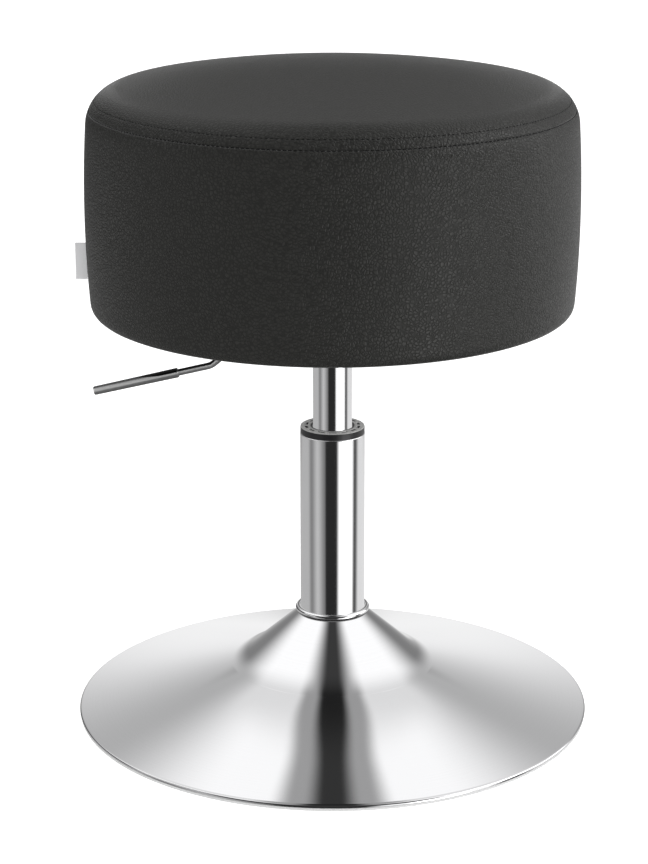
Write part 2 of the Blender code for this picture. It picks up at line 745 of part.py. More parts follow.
def valve_pin():
    """Round-ended button that the lever's inner end presses into the valve."""
    bottom = VALVE_PIN_TOP - VALVE_PIN_LENGTH
    side = VALVE_PIN_TOP - VALVE_PIN_DOME
    dome = [
        (VALVE_PIN_RADIUS * math.sin(a), side + VALVE_PIN_DOME * math.cos(a))
        for a in steps_between(0.0, math.pi / 2, 4)
    ]
    outline = dome + [(VALVE_PIN_RADIUS, bottom), (0.0, bottom)]
    outline[0] = (0.0, VALVE_PIN_TOP)
    add_piece("valve_pin", turned(outline, SMALL_SIDES), PLAIN_STEEL, VALVE)


# Seat plate, socket and fasteners


def square_loop(height):
    """Rounded square, read at even angles so that it joins the pan's circles."""
    half = 0.5 * PLATE_SIDE
    core = half - PLATE_CORNER
    points = []
    for i in range(WIDE_SIDES):
        turn = math.tau * i / WIDE_SIDES
        across = max(abs(math.cos(turn)), abs(math.sin(turn)))
        along = min(abs(math.cos(turn)), abs(math.sin(turn)))
        reach = half / across
        if along * reach > core:
            middle = core * (across + along)
            reach = middle + math.sqrt(middle**2 - 2 * core**2 + PLATE_CORNER**2)
        points.append((reach * math.cos(turn), reach * math.sin(turn), height))
    return points


def circle_loop(radius, height):
    turns = [math.tau * i / WIDE_SIDES for i in range(WIDE_SIDES)]
    return [(radius * math.cos(t), radius * math.sin(t), height) for t in turns]


def bolt_places():
    half = 0.5 * BOLT_SPACING
    return [(x, y) for x in (-half, half) for y in (-half, half)]


def bolt_holes(radius, bottom, top):
    """Four round cutters at the bolts, from one height to another."""
    outline = [(0.0, top), (radius, top), (radius, bottom), (0.0, bottom)]
    return joined([moved(turned(outline, FINE_SIDES), (x, y, 0.0)) for x, y in bolt_places()])


def lever_line(reach):
    """Height of the lever's axis on its way down, at a distance from the column's axis."""
    share = (reach - LEVER_KNEE) / (LEVER_BEND - LEVER_KNEE)
    return LEVER_HEIGHT - LEVER_BEND_DROP * max(0.0, share)


def lever_slot():
    """Opening in the pan's wall that the lever swings in."""
    bottom = lever_line(PAN_MOUTH_RADIUS) - LEVER_SLOT_CLEAR
    top = lever_line(PAN_FLOOR_RADIUS) + LEVER_SLOT_CLEAR
    half = LEVER_RADIUS + LEVER_SLOT_SIDE
    near = PAN_FLOOR_RADIUS - 2 * PLATE_WALL
    far = PAN_MOUTH_RADIUS + PLATE_WALL
    base = [(-far, -half, bottom), (-near, -half, bottom), (-near, half, bottom), (-far, half, bottom)]
    return extruded(base, (0.0, 0.0, top - bottom))


def seat_plate():
    hole = SOCKET_RADIUS + GAP
    loops = [
        square_loop(PLATE_BOTTOM),
        square_loop(PLATE_TOP),
        circle_loop(PAN_MOUTH_RADIUS - PLATE_WALL, PLATE_TOP),
        circle_loop(PAN_FLOOR_RADIUS - PLATE_WALL, PAN_FLOOR),
        circle_loop(hole, PAN_FLOOR),
        circle_loop(hole, PAN_BOTTOM),
        circle_loop(PAN_FLOOR_RADIUS, PAN_BOTTOM),
        circle_loop(PAN_MOUTH_RADIUS, PLATE_BOTTOM),
    ]
    plate = add_piece("seat_plate", lofted(loops), BLACK_PAINT, LIFT)
    holes = bolt_holes(BOLT_RADIUS + GAP, PLATE_BOTTOM - PLATE_WALL, PLATE_TOP + PLATE_WALL)
    cut(plate, "plate_bolt_holes", holes)
    cut(plate, "plate_lever_slot", lever_slot())


def taper_socket():
    outline = [
        (SOCKET_RADIUS, SOCKET_TOP),
        (SOCKET_RADIUS, SOCKET_BOTTOM),
        (cylinder_radius(SOCKET_BOTTOM) + GAP, SOCKET_BOTTOM),
        (cylinder_radius(SOCKET_TOP) + GAP, SOCKET_TOP),
    ]
    add_piece("taper_socket", turned(outline, COLUMN_SIDES), BLACK_PAINT, LIFT)


BOLT_WASHER_TOP = PLATE_BOTTOM - GAP
BOLT_SEAT = BOLT_WASHER_TOP - BOLT_WASHER_WALL - GAP
NUT_SINK = NUT_FLANGE_WALL + GAP


def fasteners():
    """A bolt, a washer and a tee nut at each corner of the plate."""
    head_bottom = BOLT_SEAT - BOLT_HEAD_HEIGHT
    bolt = [
        (0.0, BOARD_TOP - NUT_FLANGE_WALL),
        (BOLT_RADIUS, BOARD_TOP - NUT_FLANGE_WALL),
        (BOLT_RADIUS, BOLT_SEAT),
        (BOLT_HEAD_RADIUS, BOLT_SEAT),
        (BOLT_HEAD_TOP_RADIUS, head_bottom),
        (BOLT_SOCKET_RADIUS, head_bottom),
        (BOLT_SOCKET_RADIUS, head_bottom + BOLT_SOCKET_DEPTH),
        (0.0, head_bottom + BOLT_SOCKET_DEPTH),
    ]
    bore = BOLT_RADIUS + GAP
    washer = ring_outline(bore, BOLT_WASHER_RADIUS, BOLT_WASHER_TOP - BOLT_WASHER_WALL, BOLT_WASHER_TOP)
    nut = [
        (NUT_FLANGE_RADIUS, BOARD_TOP),
        (NUT_FLANGE_RADIUS, BOARD_TOP - NUT_FLANGE_WALL),
        (NUT_BARREL_RADIUS, BOARD_TOP - NUT_FLANGE_WALL),
        (NUT_BARREL_RADIUS, BOARD_TOP - NUT_BARREL_LENGTH),
        (bore, BOARD_TOP - NUT_BARREL_LENGTH),
        (bore, BOARD_TOP),
    ]
    for number, (x, y) in enumerate(bolt_places(), start=1):
        for name, outline in (("plate_bolt", bolt), ("plate_washer", washer), ("tee_nut", nut)):
            piece = add_piece(f"{name}_{number}", turned(outline, FINE_SIDES), PLAIN_STEEL, LIFT)
            piece.location = (x, y, 0.0)


# Release lever

PIVOT_HEIGHT = LEVER_HEIGHT - LEVER_RADIUS - GAP - PIVOT_RADIUS
LEVER_AXIS = axis_empty("lever_axis", (-LEVER_PIVOT, 0.0, PIVOT_HEIGHT), LIFT)


def in_lever(x, z):
    """A point of the lever's plane, counted from its pivot."""
    return (x + LEVER_PIVOT, 0.0, z - PIVOT_HEIGHT)


def rounded_corner(before, corner, after, radius, steps):
    """Arc that takes the corner off two straight runs in the lever's plane."""
    one = math.atan2(before[1] - corner[1], before[0] - corner[0])
    two = math.atan2(after[1] - corner[1], after[0] - corner[0])
    opening = (two - one + math.pi) % math.tau - math.pi
    half = 0.5 * opening
    reach = radius / abs(math.sin(half))
    centre = (corner[0] + reach * math.cos(one + half), corner[1] + reach * math.sin(one + half))
    sweep = math.copysign(math.pi - abs(opening), -opening)
    start = one - math.copysign(math.pi / 2, opening)
    return arc(centre, radius, start, start + sweep, steps)


LEVER_BEND_HEIGHT = LEVER_HEIGHT - LEVER_BEND_DROP


def along_grip(distance):
    """A point on the lever's outer run, at a distance past its bend."""
    x = -LEVER_BEND - distance * math.cos(LEVER_DROOP)
    return x, LEVER_BEND_HEIGHT - distance * math.sin(LEVER_DROOP)


def lever_rod():
    """Round bar bent twice, as a curve with a round bevel."""
    inner = (LEVER_END, LEVER_HEIGHT)
    knee = (-LEVER_KNEE, LEVER_HEIGHT)
    bend = (-LEVER_BEND, LEVER_BEND_HEIGHT)
    tip = along_grip(LEVER_REACH)
    route = [inner]
    route += rounded_corner(inner, knee, bend, LEVER_BEND_ROUND, 4)
    route += rounded_corner(knee, bend, tip, LEVER_BEND_ROUND, 4)
    route.append(tip)
    curve = bpy.data.curves.new("lever_rod", "CURVE")
    curve.dimensions = "3D"
    curve.bevel_depth = LEVER_RADIUS
    curve.bevel_resolution = 3
    curve.use_fill_caps = True
    spline = curve.splines.new("POLY")
    spline.points.add(len(route) - 1)
    for point, (x, z) in zip(spline.points, route):
        point.co = (*in_lever(x, z), 1.0)
    curve.materials.append(CHROME)
    rod = bpy.data.objects.new("lever_rod", curve)
    bpy.context.scene.collection.objects.link(rod)
    rod.parent = LEVER_AXIS


def lever_grip():
    """Thicker sleeve pushed over the bar, slightly tapered to a rounded tip."""
    bore = LEVER_RADIUS + GAP
    bore_end = LEVER_REACH - GRIP_START + GAP
    tip = arc(
        (GRIP_TIP_RADIUS - GRIP_TIP_ROUND, GRIP_LENGTH - GRIP_TIP_ROUND), GRIP_TIP_ROUND, math.pi / 2, 0.0, 3
    )
    outline = [(0.0, GRIP_LENGTH)] + tip
    outline += [(GRIP_RADIUS, 0.0), (bore, 0.0), (bore, bore_end), (0.0, bore_end)]
    grip = add_piece("lever_grip", turned(outline, SMALL_SIDES), CHROME, LEVER_AXIS)
    grip.location = in_lever(*along_grip(GRIP_START))
    grip.rotation_euler = (0.0, -(math.pi / 2 + LEVER_DROOP), 0.0)


def lever_pivot_pin():
    half = 0.5 * PIVOT_LENGTH
    outline = [(0.0, half), (PIVOT_RADIUS, half), (PIVOT_RADIUS, -half), (0.0, -half)]
    pin = add_piece("lever_pivot_pin", turned(outline, SMALL_SIDES), PLAIN_STEEL, LEVER_AXIS)
    pin.rotation_euler = (math.pi / 2, 0.0, 0.0)


def lever_bracket():
    """Folded saddle on the pan's floor, with an eared hole each side for the pivot pin."""
    floor = PAN_FLOOR + GAP
    top = PIVOT_HEIGHT + BRACKET_EAR
    inner = 0.5 * BRACKET_GAP
    outer = inner + BRACKET_WALL
    end = -LEVER_PIVOT - 0.5 * BRACKET_LENGTH
    fold = [(-outer, floor), (outer, floor), (outer, top), (inner, top)]
    fold += [(inner, floor + BRACKET_WALL), (-inner, floor + BRACKET_WALL), (-inner, top), (-outer, top)]
    section = [(end, y, z) for y, z in fold]
    bracket = add_piece("lever_bracket", extruded(section, (BRACKET_LENGTH, 0.0, 0.0)), BLACK_PAINT, LIFT)
    reach = PIVOT_RADIUS + GAP
    drill = [(0.0, PIVOT_LENGTH), (reach, PIVOT_LENGTH), (reach, -PIVOT_LENGTH), (0.0, -PIVOT_LENGTH)]
    hole = turned(drill, SMALL_SIDES)
    quarter_turn = Matrix.Rotation(math.pi / 2, 3, "X")
    bmesh.ops.rotate(hole, verts=hole.verts, cent=(0.0, 0.0, 0.0), matrix=quarter_turn)
    cut(bracket, "bracket_holes", moved(hole, (-LEVER_PIVOT, 0.0, PIVOT_HEIGHT)))


# Drum seat

SIDE_FOOT = SEAT_BOTTOM + SEAT_BOTTOM_ROUND
SIDE_HEAD = SEAT_SHOULDER - SEAT_TOP_ROUND
CORNER_RADIUS = SEAT_FOOT_RADIUS - SEAT_BOTTOM_ROUND
SHOULDER_RADIUS = SEAT_HEAD_RADIUS - SEAT_TOP_ROUND
CROWN_ANGLE = math.atan2(SHOULDER_RADIUS, 2 * SEAT_CROWN)
SEAM_HALF_GAP = 0.5 * GAP / SEAT_TOP_ROUND


def side_radius(height):
    """Outside of the drum's wall, which swells a little half way up."""
    share = (height - SIDE_FOOT) / (SIDE_HEAD - SIDE_FOOT)
    straight = SEAT_FOOT_RADIUS + (SEAT_HEAD_RADIUS - SEAT_FOOT_RADIUS) * share
    return straight + 4 * SEAT_BULGE * share * (1.0 - share)


def wall_points(inset, bottom, steps):
    """The drum's wall from a height up to its shoulder."""
    heights = [h for h in steps_between(SIDE_FOOT, SIDE_HEAD, 2 * steps)[1:-1] if h > bottom]
    return [(side_radius(h) - inset, h) for h in [bottom] + heights]


def shoulder_points(inset, start, end, steps, dip_at=None):
    """Part of the rounded shoulder. The cover is drawn in by SEAM_DIP where it is sewn."""
    centre = (SHOULDER_RADIUS, SIDE_HEAD)
    points = arc(centre, SEAT_TOP_ROUND - inset, start, end, steps)
    if dip_at is not None:
        angle = start if dip_at == 0 else end
        points[dip_at] = arc(centre, SEAT_TOP_ROUND - inset - SEAM_DIP, angle, angle, 1)[0]
    return points


def crown_points(inset, steps):
    """The domed top, from the shoulder in to the axis."""
    edge_radius = SHOULDER_RADIUS + (SEAT_TOP_ROUND - inset) * math.cos(CROWN_ANGLE)
    edge_height = SIDE_HEAD + (SEAT_TOP_ROUND - inset) * math.sin(CROWN_ANGLE)
    radii = steps_between(edge_radius, 0.0, 2 * steps)[1:]
    return [(r, edge_height + SEAT_CROWN * (1.0 - (r / edge_radius) ** 2)) for r in radii]


def band_points(inset, steps, dip_at=None):
    """The side piece of the cover: hem under the board, lower edge, wall, and shoulder up to the seam."""
    hem = [(CORNER_RADIUS - HEM_WIDTH, SEAT_BOTTOM + inset)]
    edge = arc((CORNER_RADIUS, SIDE_FOOT), SEAT_BOTTOM_ROUND - inset, -math.pi / 2, 0.0, 2 * steps)
    wall = wall_points(inset, SIDE_FOOT, steps)[1:]
    return hem + edge + wall + shoulder_points(inset, 0.0, SEAM_ANGLE - SEAM_HALF_GAP, steps, dip_at)


def top_points(inset, steps, start, dip_at=None):
    """The top piece of the cover: shoulder from the seam up, and the crown."""
    shoulder = shoulder_points(inset, start, CROWN_ANGLE, 2 * steps, dip_at)
    return shoulder + crown_points(inset, steps)


def cover_band():
    outline = band_points(0.0, FACE_STEPS, -1) + band_points(COVER_WALL, LINING_STEPS)[::-1]
    add_piece("cover_band", turned(outline, WIDE_SIDES), LEATHER, LIFT)


def cover_top():
    start = SEAM_ANGLE + SEAM_HALF_GAP
    outside = top_points(0.0, FACE_STEPS, start, 0)
    outline = outside[::-1] + top_points(COVER_WALL, LINING_STEPS, start)
    add_piece("cover_top", turned(outline, WIDE_SIDES), LEATHER, LIFT)


def seat_foam():
    """Fills the cover, one clearance inside its lining."""
    inset = COVER_WALL + GAP
    outline = [(0.0, FOAM_BOTTOM)] + wall_points(inset, FOAM_BOTTOM, LINING_STEPS)
    outline += shoulder_points(inset, 0.0, SEAM_ANGLE, LINING_STEPS)[:-1]
    outline += top_points(inset, LINING_STEPS, SEAM_ANGLE)
    add_piece("seat_foam", turned(outline, WIDE_SIDES), FOAM, LIFT)


def seat_board():
    rim = [(CORNER_RADIUS, BOARD_TOP), (CORNER_RADIUS, BOARD_BOTTOM)]
    outline = [(0.0, BOARD_TOP)] + rim + [(0.0, BOARD_BOTTOM)]
    board = add_piece("seat_board", turned(outline, WIDE_SIDES), PLYWOOD, LIFT)
    through = bolt_holes(NUT_BARREL_RADIUS + GAP, BOARD_BOTTOM - BOARD_WALL, BOARD_TOP + BOARD_WALL)
    cut(board, "board_bolt_holes", through)
    sunk = bolt_holes(NUT_FLANGE_RADIUS + GAP, BOARD_TOP - NUT_SINK, BOARD_TOP + BOARD_WALL)
    cut(board, "board_nut_seats", sunk)


def dust_cover():
    outer = CORNER_RADIUS - HEM_WIDTH + DUST_OVERLAP
    outline = ring_outline(PAN_MOUTH_RADIUS, outer, DUST_BOTTOM, DUST_TOP)
    dust = add_piece("dust_cover", turned(outline, WIDE_SIDES), FELT, LIFT)
    cut(dust, "dust_bolt_holes", bolt_holes(BOLT_RADIUS + GAP, PLATE_TOP - DUST_WALL, DUST_TOP + DUST_WALL))


def side_label():
    """Blank folded tape sewn into the band's closing seam."""
    bottom = LABEL_CENTRE - 0.5 * LABEL_HEIGHT
    top = LABEL_CENTRE + 0.5 * LABEL_HEIGHT
    root = max(side_radius(h) for h in steps_between(bottom, top, 4)) + GAP
    half = 0.5 * LABEL_WALL
    fold = arc((root + LABEL_WIDTH - half, 0.0), half, -math.pi / 2, math.pi / 2, 4)
    plan = [(root, -half)] + fold + [(root, half)]
    base = [(-x, y, bottom) for x, y in plan]
    add_piece("side_label", extruded(base, (0.0, 0.0, LABEL_HEIGHT)), WHITE_TAPE, LIFT)


base_shell()
floor_ring()
ballast_plate()
hub_socket()
trim_ring()
column_tube()
tube_end_plate()
column_collar()
guide_bush()
race("bearing_lower_race", LOWER_RACE_BOTTOM, STAND)
bearing_cage()
bearing_balls()
race("bearing_upper_race", UPPER_RACE_BOTTOM, SWIVEL)
rod_washer()
rod_clip()
bump_stop()
piston_rod()
piston()
piston_ring()
gas_cylinder()
rod_seal()
rod_guide()
valve_body()
valve_pin()
seat_plate()
taper_socket()
fasteners()
lever_bracket()
lever_pivot_pin()
lever_rod()
lever_grip()
seat_board()
seat_foam()
cover_band()
cover_top()
dust_cover()
side_label()
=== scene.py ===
"""Height-adjustable stool, dressed: trumpet base, gas-lift column, release lever and padded drum seat.

Metres, +Z up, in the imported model's frame: the column stands on the Z axis, the lever points to -X and
the photographed side faces -Y.
"""

import json
import math

import bpy
import numpy as np
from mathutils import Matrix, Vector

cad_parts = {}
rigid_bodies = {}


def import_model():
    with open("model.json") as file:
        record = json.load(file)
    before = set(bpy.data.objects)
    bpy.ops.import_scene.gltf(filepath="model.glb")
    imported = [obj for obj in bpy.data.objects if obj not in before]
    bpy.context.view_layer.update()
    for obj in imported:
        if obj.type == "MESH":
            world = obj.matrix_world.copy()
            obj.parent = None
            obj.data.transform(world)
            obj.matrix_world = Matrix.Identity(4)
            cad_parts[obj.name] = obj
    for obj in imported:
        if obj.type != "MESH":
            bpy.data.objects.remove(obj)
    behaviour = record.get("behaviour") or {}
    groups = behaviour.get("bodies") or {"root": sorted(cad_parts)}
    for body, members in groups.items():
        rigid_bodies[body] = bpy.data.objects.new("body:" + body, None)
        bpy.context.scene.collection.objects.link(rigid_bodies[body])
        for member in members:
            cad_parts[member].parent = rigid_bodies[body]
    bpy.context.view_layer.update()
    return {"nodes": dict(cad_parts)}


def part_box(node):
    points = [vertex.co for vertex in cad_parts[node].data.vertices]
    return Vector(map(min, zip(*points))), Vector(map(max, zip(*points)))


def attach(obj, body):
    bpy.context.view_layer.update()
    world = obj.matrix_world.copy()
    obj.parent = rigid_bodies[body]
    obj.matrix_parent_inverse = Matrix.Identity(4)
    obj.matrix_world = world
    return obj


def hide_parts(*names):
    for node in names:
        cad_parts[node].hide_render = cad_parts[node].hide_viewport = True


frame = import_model()


# Trumpet base: one steel sheet, spun over a former to a steep cone that runs out into a shallow dish.
# Its edge is rolled down, and it is brushed while it turns, which leaves fine rings all over it.

RIM_RADIUS = 0.200
RIM_ROUND = 0.0014
RIM_CORNER = 0.0044
RIM_BOTTOM = 0.0028
SHEET_WALL = 0.0018
NECK_RADIUS = 0.0275
NECK_HEIGHT = 0.0790
COLUMN_HOLE = 0.0253
CONE_RADIUS = 0.0700
CONE_SLOPE = 0.88
CONE_BLEND = 0.010
CONE_CREASE = 0.05
CREASE_HALF = 0.00004
BASE_SIDES = 256
SHARP_ANGLE = math.radians(35)
FINE_RINGS = 2600.0
BROAD_RINGS = 260.0


def cone_rise(radius):
    """Height c u + (1 - c) u^2 / 4b from a crease at radius k + b inwards, and slope 1 from u = 2b on."""
    inward = CONE_RADIUS + CONE_BLEND - radius
    bent = np.clip(inward, 0.0, 2.0 * CONE_BLEND)
    curve = CONE_CREASE * bent + (1.0 - CONE_CREASE) * bent**2 / (4.0 * CONE_BLEND)
    return curve + np.maximum(inward - 2.0 * CONE_BLEND, 0.0)


NECK_RISE = cone_rise(NECK_RADIUS)
DISH_SLOPE = (NECK_HEIGHT - RIM_CORNER - CONE_SLOPE * NECK_RISE) / (RIM_RADIUS - NECK_RADIUS - NECK_RISE)


def base_height(radius):
    """Outside of the base: the dish's straight fall to the rim, plus the steeper cone."""
    dish = DISH_SLOPE * (RIM_RADIUS - radius)
    return RIM_CORNER + dish + (CONE_SLOPE - DISH_SLOPE) * cone_rise(radius)


def base_inside(radius):
    """Inside of the base, one wall under the outside, measured square to the sheet."""
    share = np.clip(0.5 + 0.5 * (CONE_RADIUS - radius) / CONE_BLEND, 0.0, 1.0)
    share = np.where(share > 0.0, CONE_CREASE + (1.0 - CONE_CREASE) * share, 0.0)
    slope = DISH_SLOPE + (CONE_SLOPE - DISH_SLOPE) * share
    return base_height(radius) - SHEET_WALL * np.hypot(1.0, slope)


def arc(centre, radius, start, end, steps):
    """Points centre + radius (cos a, sin a) in the (radius, height) plane, a from start to end."""
    angle = np.linspace(start, end, steps + 1)
    return np.array(centre) + radius * np.stack((np.cos(angle), np.sin(angle)), -1)


def even_turn(sides):
    """Equal angles round a full turn."""
    return np.linspace(0.0, math.tau, sides, endpoint=False)


def turned(outline, turn):
    """Grid [copy, row, column] of a (radius, height) outline carried round +Z: (r cos t, r sin t, z)."""
    outline = np.asarray(outline, float)
    area = np.sum(outline[:, 0] * np.roll(outline[:, 1], -1) - np.roll(outline[:, 0], -1) * outline[:, 1])
    outline = outline if area > 0.0 else outline[::-1]
    round_it = np.stack((np.cos(turn), np.sin(turn)), -1)
    level = outline[:, 0, None, None] * round_it
    height = np.broadcast_to(outline[:, 1, None, None], level.shape[:2] + (1,))
    return np.concatenate((level, height), -1)[None]


def skin(name, grid, joined=True):
    """Closed mesh over points [copy, row, column], whose columns go round.

    Rows i and i + 1 and columns j and j + 1 bound a four-sided face. The last row is joined to the first,
    or else each end row is closed by a fan on its mean point.
    """
    copies, rows, columns = grid.shape[:3]
    total = rows * columns
    here = np.arange(columns)
    beside = np.roll(here, -1)
    row = np.arange(rows if joined else rows - 1)[:, None] * columns
    above = (row + columns) % total
    quads = np.stack((row + here, row + beside, above + beside, above + here), -1).reshape(-1, 4)
    points = grid.reshape(copies, total, 3)
    fans = np.zeros((0, 3), int)
    if not joined:
        points = np.concatenate((points, grid[:, :1].mean(2), grid[:, -1:].mean(2)), 1)
        last = total - columns
        foot = np.stack((np.full(columns, total), beside, here), -1)
        head = np.stack((last + here, last + beside, np.full(columns, total + 1)), -1)
        fans = np.concatenate((foot, head))
    offset = np.arange(copies)[:, None, None] * points.shape[1]
    quads = (offset + quads).reshape(-1, 4)
    fans = (offset + fans).reshape(-1, 3)
    mesh = bpy.data.meshes.new(name)
    mesh.from_pydata(points.reshape(-1, 3).tolist(), [], quads.tolist() + fans.tolist())
    mesh.shade_smooth()
    mesh.set_sharp_from_angle(angle=SHARP_ANGLE)
    return mesh


class Shade:
    """A socket of a node tree. Arithmetic on it adds Math nodes, and node() adds any other node."""

    def __init__(self, tree, socket=None):
        self.tree = tree
        self.socket = socket

    def node(self, kind, sockets=None, output=0, stops=(), **settings):
        """Adds a node: its settings and a ramp's stops first, then the values or links of its sockets."""
        made = self.tree.nodes.new("ShaderNode" + kind)
        for setting, value in settings.items():
            setattr(made, setting, value)
        for place, _ in stops[1:-1]:
            made.color_ramp.elements.new(place)
        for number, (place, colour) in enumerate(stops):
            made.color_ramp.elements[number].position = place
            made.color_ramp.elements[number].color = (*colour, 1.0)
        for socket, value in (sockets or {}).items():
            if isinstance(value, Shade):
                self.tree.links.new(value.socket, made.inputs[socket])
            else:
                made.inputs[socket].default_value = value
        return Shade(self.tree, made.outputs[output] if made.outputs else None)

    def __add__(self, other):
        return self.node("Math", {0: self, 1: other}, operation="ADD")

    def __sub__(self, other):
        return self.node("Math", {0: self, 1: other}, operation="SUBTRACT")

    def __rsub__(self, other):
        return self.node("Math", {0: other, 1: self}, operation="SUBTRACT")

    def __mul__(self, other):
        return self.node("Math", {0: self, 1: other}, operation="MULTIPLY")

    __radd__ = __add__
    __rmul__ = __mul__


def new_finish(name):
    """An empty material, and the place of a point on its piece, to add nodes from."""
    finish = bpy.data.materials.new(name)
    finish.use_nodes = True
    finish.node_tree.nodes.clear()
    return finish, Shade(finish.node_tree).node("TexCoord", output="Object")


def noise(place, scale, detail):
    """Cloudy noise from 0 to 1, at so many spots to the metre."""
    return place.node("TexNoise", {"Vector": place, "Scale": scale, "Detail": detail})


def from_axis(place):
    """How far a place is from the Z axis."""
    level = place.node("VectorMath", {0: place, 1: (1.0, 1.0, 0.0)}, operation="MULTIPLY")
    return place.node("VectorMath", {0: level}, output="Value", operation="LENGTH")


def mixed(share, low, high):
    """Colour between two colours, by a share from 0 to 1."""
    return share.node("Mix", {0: share, 6: (*low, 1.0), 7: (*high, 1.0)}, output=2, data_type="RGBA")


def bumped(height, strength, distance):
    """Normal of a surface whose fine relief is a height from 0 to 1 times a distance."""
    return height.node("Bump", {"Strength": strength, "Distance": distance, "Height": height})


def surface(start, sockets):
    """The Principled shader of a finish, joined to the material's output."""
    start.node("OutputMaterial", {"Surface": start.node("BsdfPrincipled", sockets)})


def placed(mesh, finish):
    """Puts a mesh in the scene under its own name, with its finish."""
    mesh.materials.append(finish)
    piece = bpy.data.objects.new(mesh.name, mesh)
    bpy.context.scene.collection.objects.link(piece)
    return piece


satin_steel, place = new_finish("satin_steel")
radius = from_axis(place)
fine_rings = place.node("TexNoise", {"W": radius * FINE_RINGS, "Detail": 4.0}, noise_dimensions="1D")
broad_rings = place.node("TexNoise", {"W": radius * BROAD_RINGS, "Detail": 3.0}, noise_dimensions="1D")
rings = 0.6 * fine_rings + 0.4 * broad_rings
surface(
    place,
    {
        "Base Color": mixed(rings, (0.74, 0.74, 0.75), (0.84, 0.84, 0.85)),
        "Metallic": 1.0,
        "Roughness": 0.02 + 0.015 * rings + 0.01 * noise(place, scale=14.0, detail=5.0),
        "Normal": bumped(rings, strength=0.006, distance=0.0002),
    },
)

rim_lean = math.atan2(1.0, DISH_SLOPE)
rim_start = RIM_RADIUS - RIM_ROUND * (1.0 - math.cos(rim_lean))
rim_centre = (RIM_RADIUS - RIM_ROUND, base_height(rim_start) - RIM_ROUND * math.sin(rim_lean))
crease_radii = CONE_RADIUS + CONE_BLEND + np.array([-CREASE_HALF, 0.0, CREASE_HALF])
outer_radii = np.sort(np.append(np.linspace(NECK_RADIUS, rim_start, num=130)[:-1], crease_radii))
inner_radii = np.linspace(RIM_RADIUS - SHEET_WALL, NECK_RADIUS, num=40)
base_outline = np.concatenate(
    (
        np.stack((outer_radii, base_height(outer_radii)), -1),
        arc(rim_centre, RIM_ROUND, rim_lean, 0.0, steps=8),
        [(RIM_RADIUS, RIM_BOTTOM), (RIM_RADIUS - SHEET_WALL, RIM_BOTTOM)],
        np.stack((inner_radii, base_inside(inner_radii)), -1),
        [(COLUMN_HOLE, base_inside(COLUMN_HOLE)), (COLUMN_HOLE, NECK_HEIGHT)],
    )
)
spun_base = placed(skin("spun_base", turned(base_outline, even_turn(BASE_SIDES))), satin_steel)
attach(spun_base, "base")
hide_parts("base_shell")


# Floor ring: soft grey vinyl, moulded flat and pressed up under the rolled edge.
# It keeps the steel off the floor and shows as a thin pale line under the base.

VINYL_OUTER = 0.1995
VINYL_INNER = 0.1855
VINYL_TOP = 0.0025
VINYL_ROUND = 0.0006

grey_vinyl, place = new_finish("grey_vinyl")
mottle = noise(place, scale=900.0, detail=3.0)
surface(
    place,
    {
        "Base Color": mixed(mottle, (0.66, 0.66, 0.66), (0.76, 0.76, 0.76)),
        "Roughness": 0.45 + 0.15 * mottle,
        "Normal": bumped(mottle, strength=0.15, distance=0.0002),
    },
)
vinyl_outline = np.concatenate(
    (
        [(VINYL_INNER, 0.0)],
        arc((VINYL_OUTER - VINYL_ROUND, VINYL_ROUND), VINYL_ROUND, -math.pi / 2, 0.0, steps=5),
        arc((VINYL_OUTER - VINYL_ROUND, VINYL_TOP - VINYL_ROUND), VINYL_ROUND, 0.0, math.pi / 2, steps=5),
        [(VINYL_INNER, VINYL_TOP)],
    )
)
foot_ring = placed(skin("foot_ring", turned(vinyl_outline, even_turn(BASE_SIDES))), grey_vinyl)
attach(foot_ring, "base")
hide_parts("floor_ring")


# Trim ring: turned steel, polished and chromed, slid down the column on to the base.
# It is one round bead on a low, narrower foot. The dark line under it is a painted shadow.

TRIM_INNER = 0.0253
TRIM_OUTER = 0.0289
TRIM_BOTTOM = 0.0793
TRIM_FOOT = 0.0005
BEAD_RADIUS = 0.0022
BEAD_END = 0.75 * math.pi
BEAD_SHOULDER = 0.3 * BEAD_RADIUS
PAINTED_SHADOW_BELOW = 0.0011
PAINTED_SHADOW_FADE = 0.0004
COLUMN_SIDES = 128
UP = (0.0, 0.0, 1.0)


def measured(place, way):
    """How far a place lies along a way, by their dot product."""
    return place.node("VectorMath", {0: place, 1: tuple(way)}, output="Value", operation="DOT_PRODUCT")


def ease(value, start, end, step="SMOOTHSTEP"):
    """0 where a value is at start, 1 at end, and a smooth step between them, or a LINEAR one."""
    sockets = {"Value": value, "From Min": start, "From Max": end}
    return value.node("MapRange", sockets, interpolation_type=step)


bead_centre = (TRIM_OUTER - BEAD_RADIUS, TRIM_BOTTOM + TRIM_FOOT + BEAD_RADIUS)
trim_chrome, place = new_finish("trim_chrome")
# Painted shadow: the bead's underside is near black, fading out below the bead's middle.
out_of_painted_shadow = ease(measured(place, UP), bead_centre[1] - PAINTED_SHADOW_BELOW, bead_centre[1] - PAINTED_SHADOW_FADE)
surface(
    place,
    {
        "Base Color": mixed(out_of_painted_shadow, (0.010, 0.010, 0.010), (0.89, 0.89, 0.90)),
        "Metallic": 1.0,
        "Roughness": 0.08 + 0.04 * noise(place, scale=45.0, detail=4.0),
    },
)
trim_outline = np.concatenate(
    (
        [(TRIM_INNER, TRIM_BOTTOM), (bead_centre[0], TRIM_BOTTOM)],
        arc(bead_centre, BEAD_RADIUS, -math.pi / 2, BEAD_END, steps=26),
        [(TRIM_INNER, bead_centre[1] + BEAD_SHOULDER)],
    )
)
trim_bead = placed(skin("trim_bead", turned(trim_outline, even_turn(COLUMN_SIDES))), trim_chrome)
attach(trim_bead, "base")
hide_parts("trim_ring")


# Outer tube: 50 mm drawn steel tube, chrome plated, wedged by its tapered foot into the base's socket.
# Its foot has a lip that carries the bearing, and its top edge is deburred.

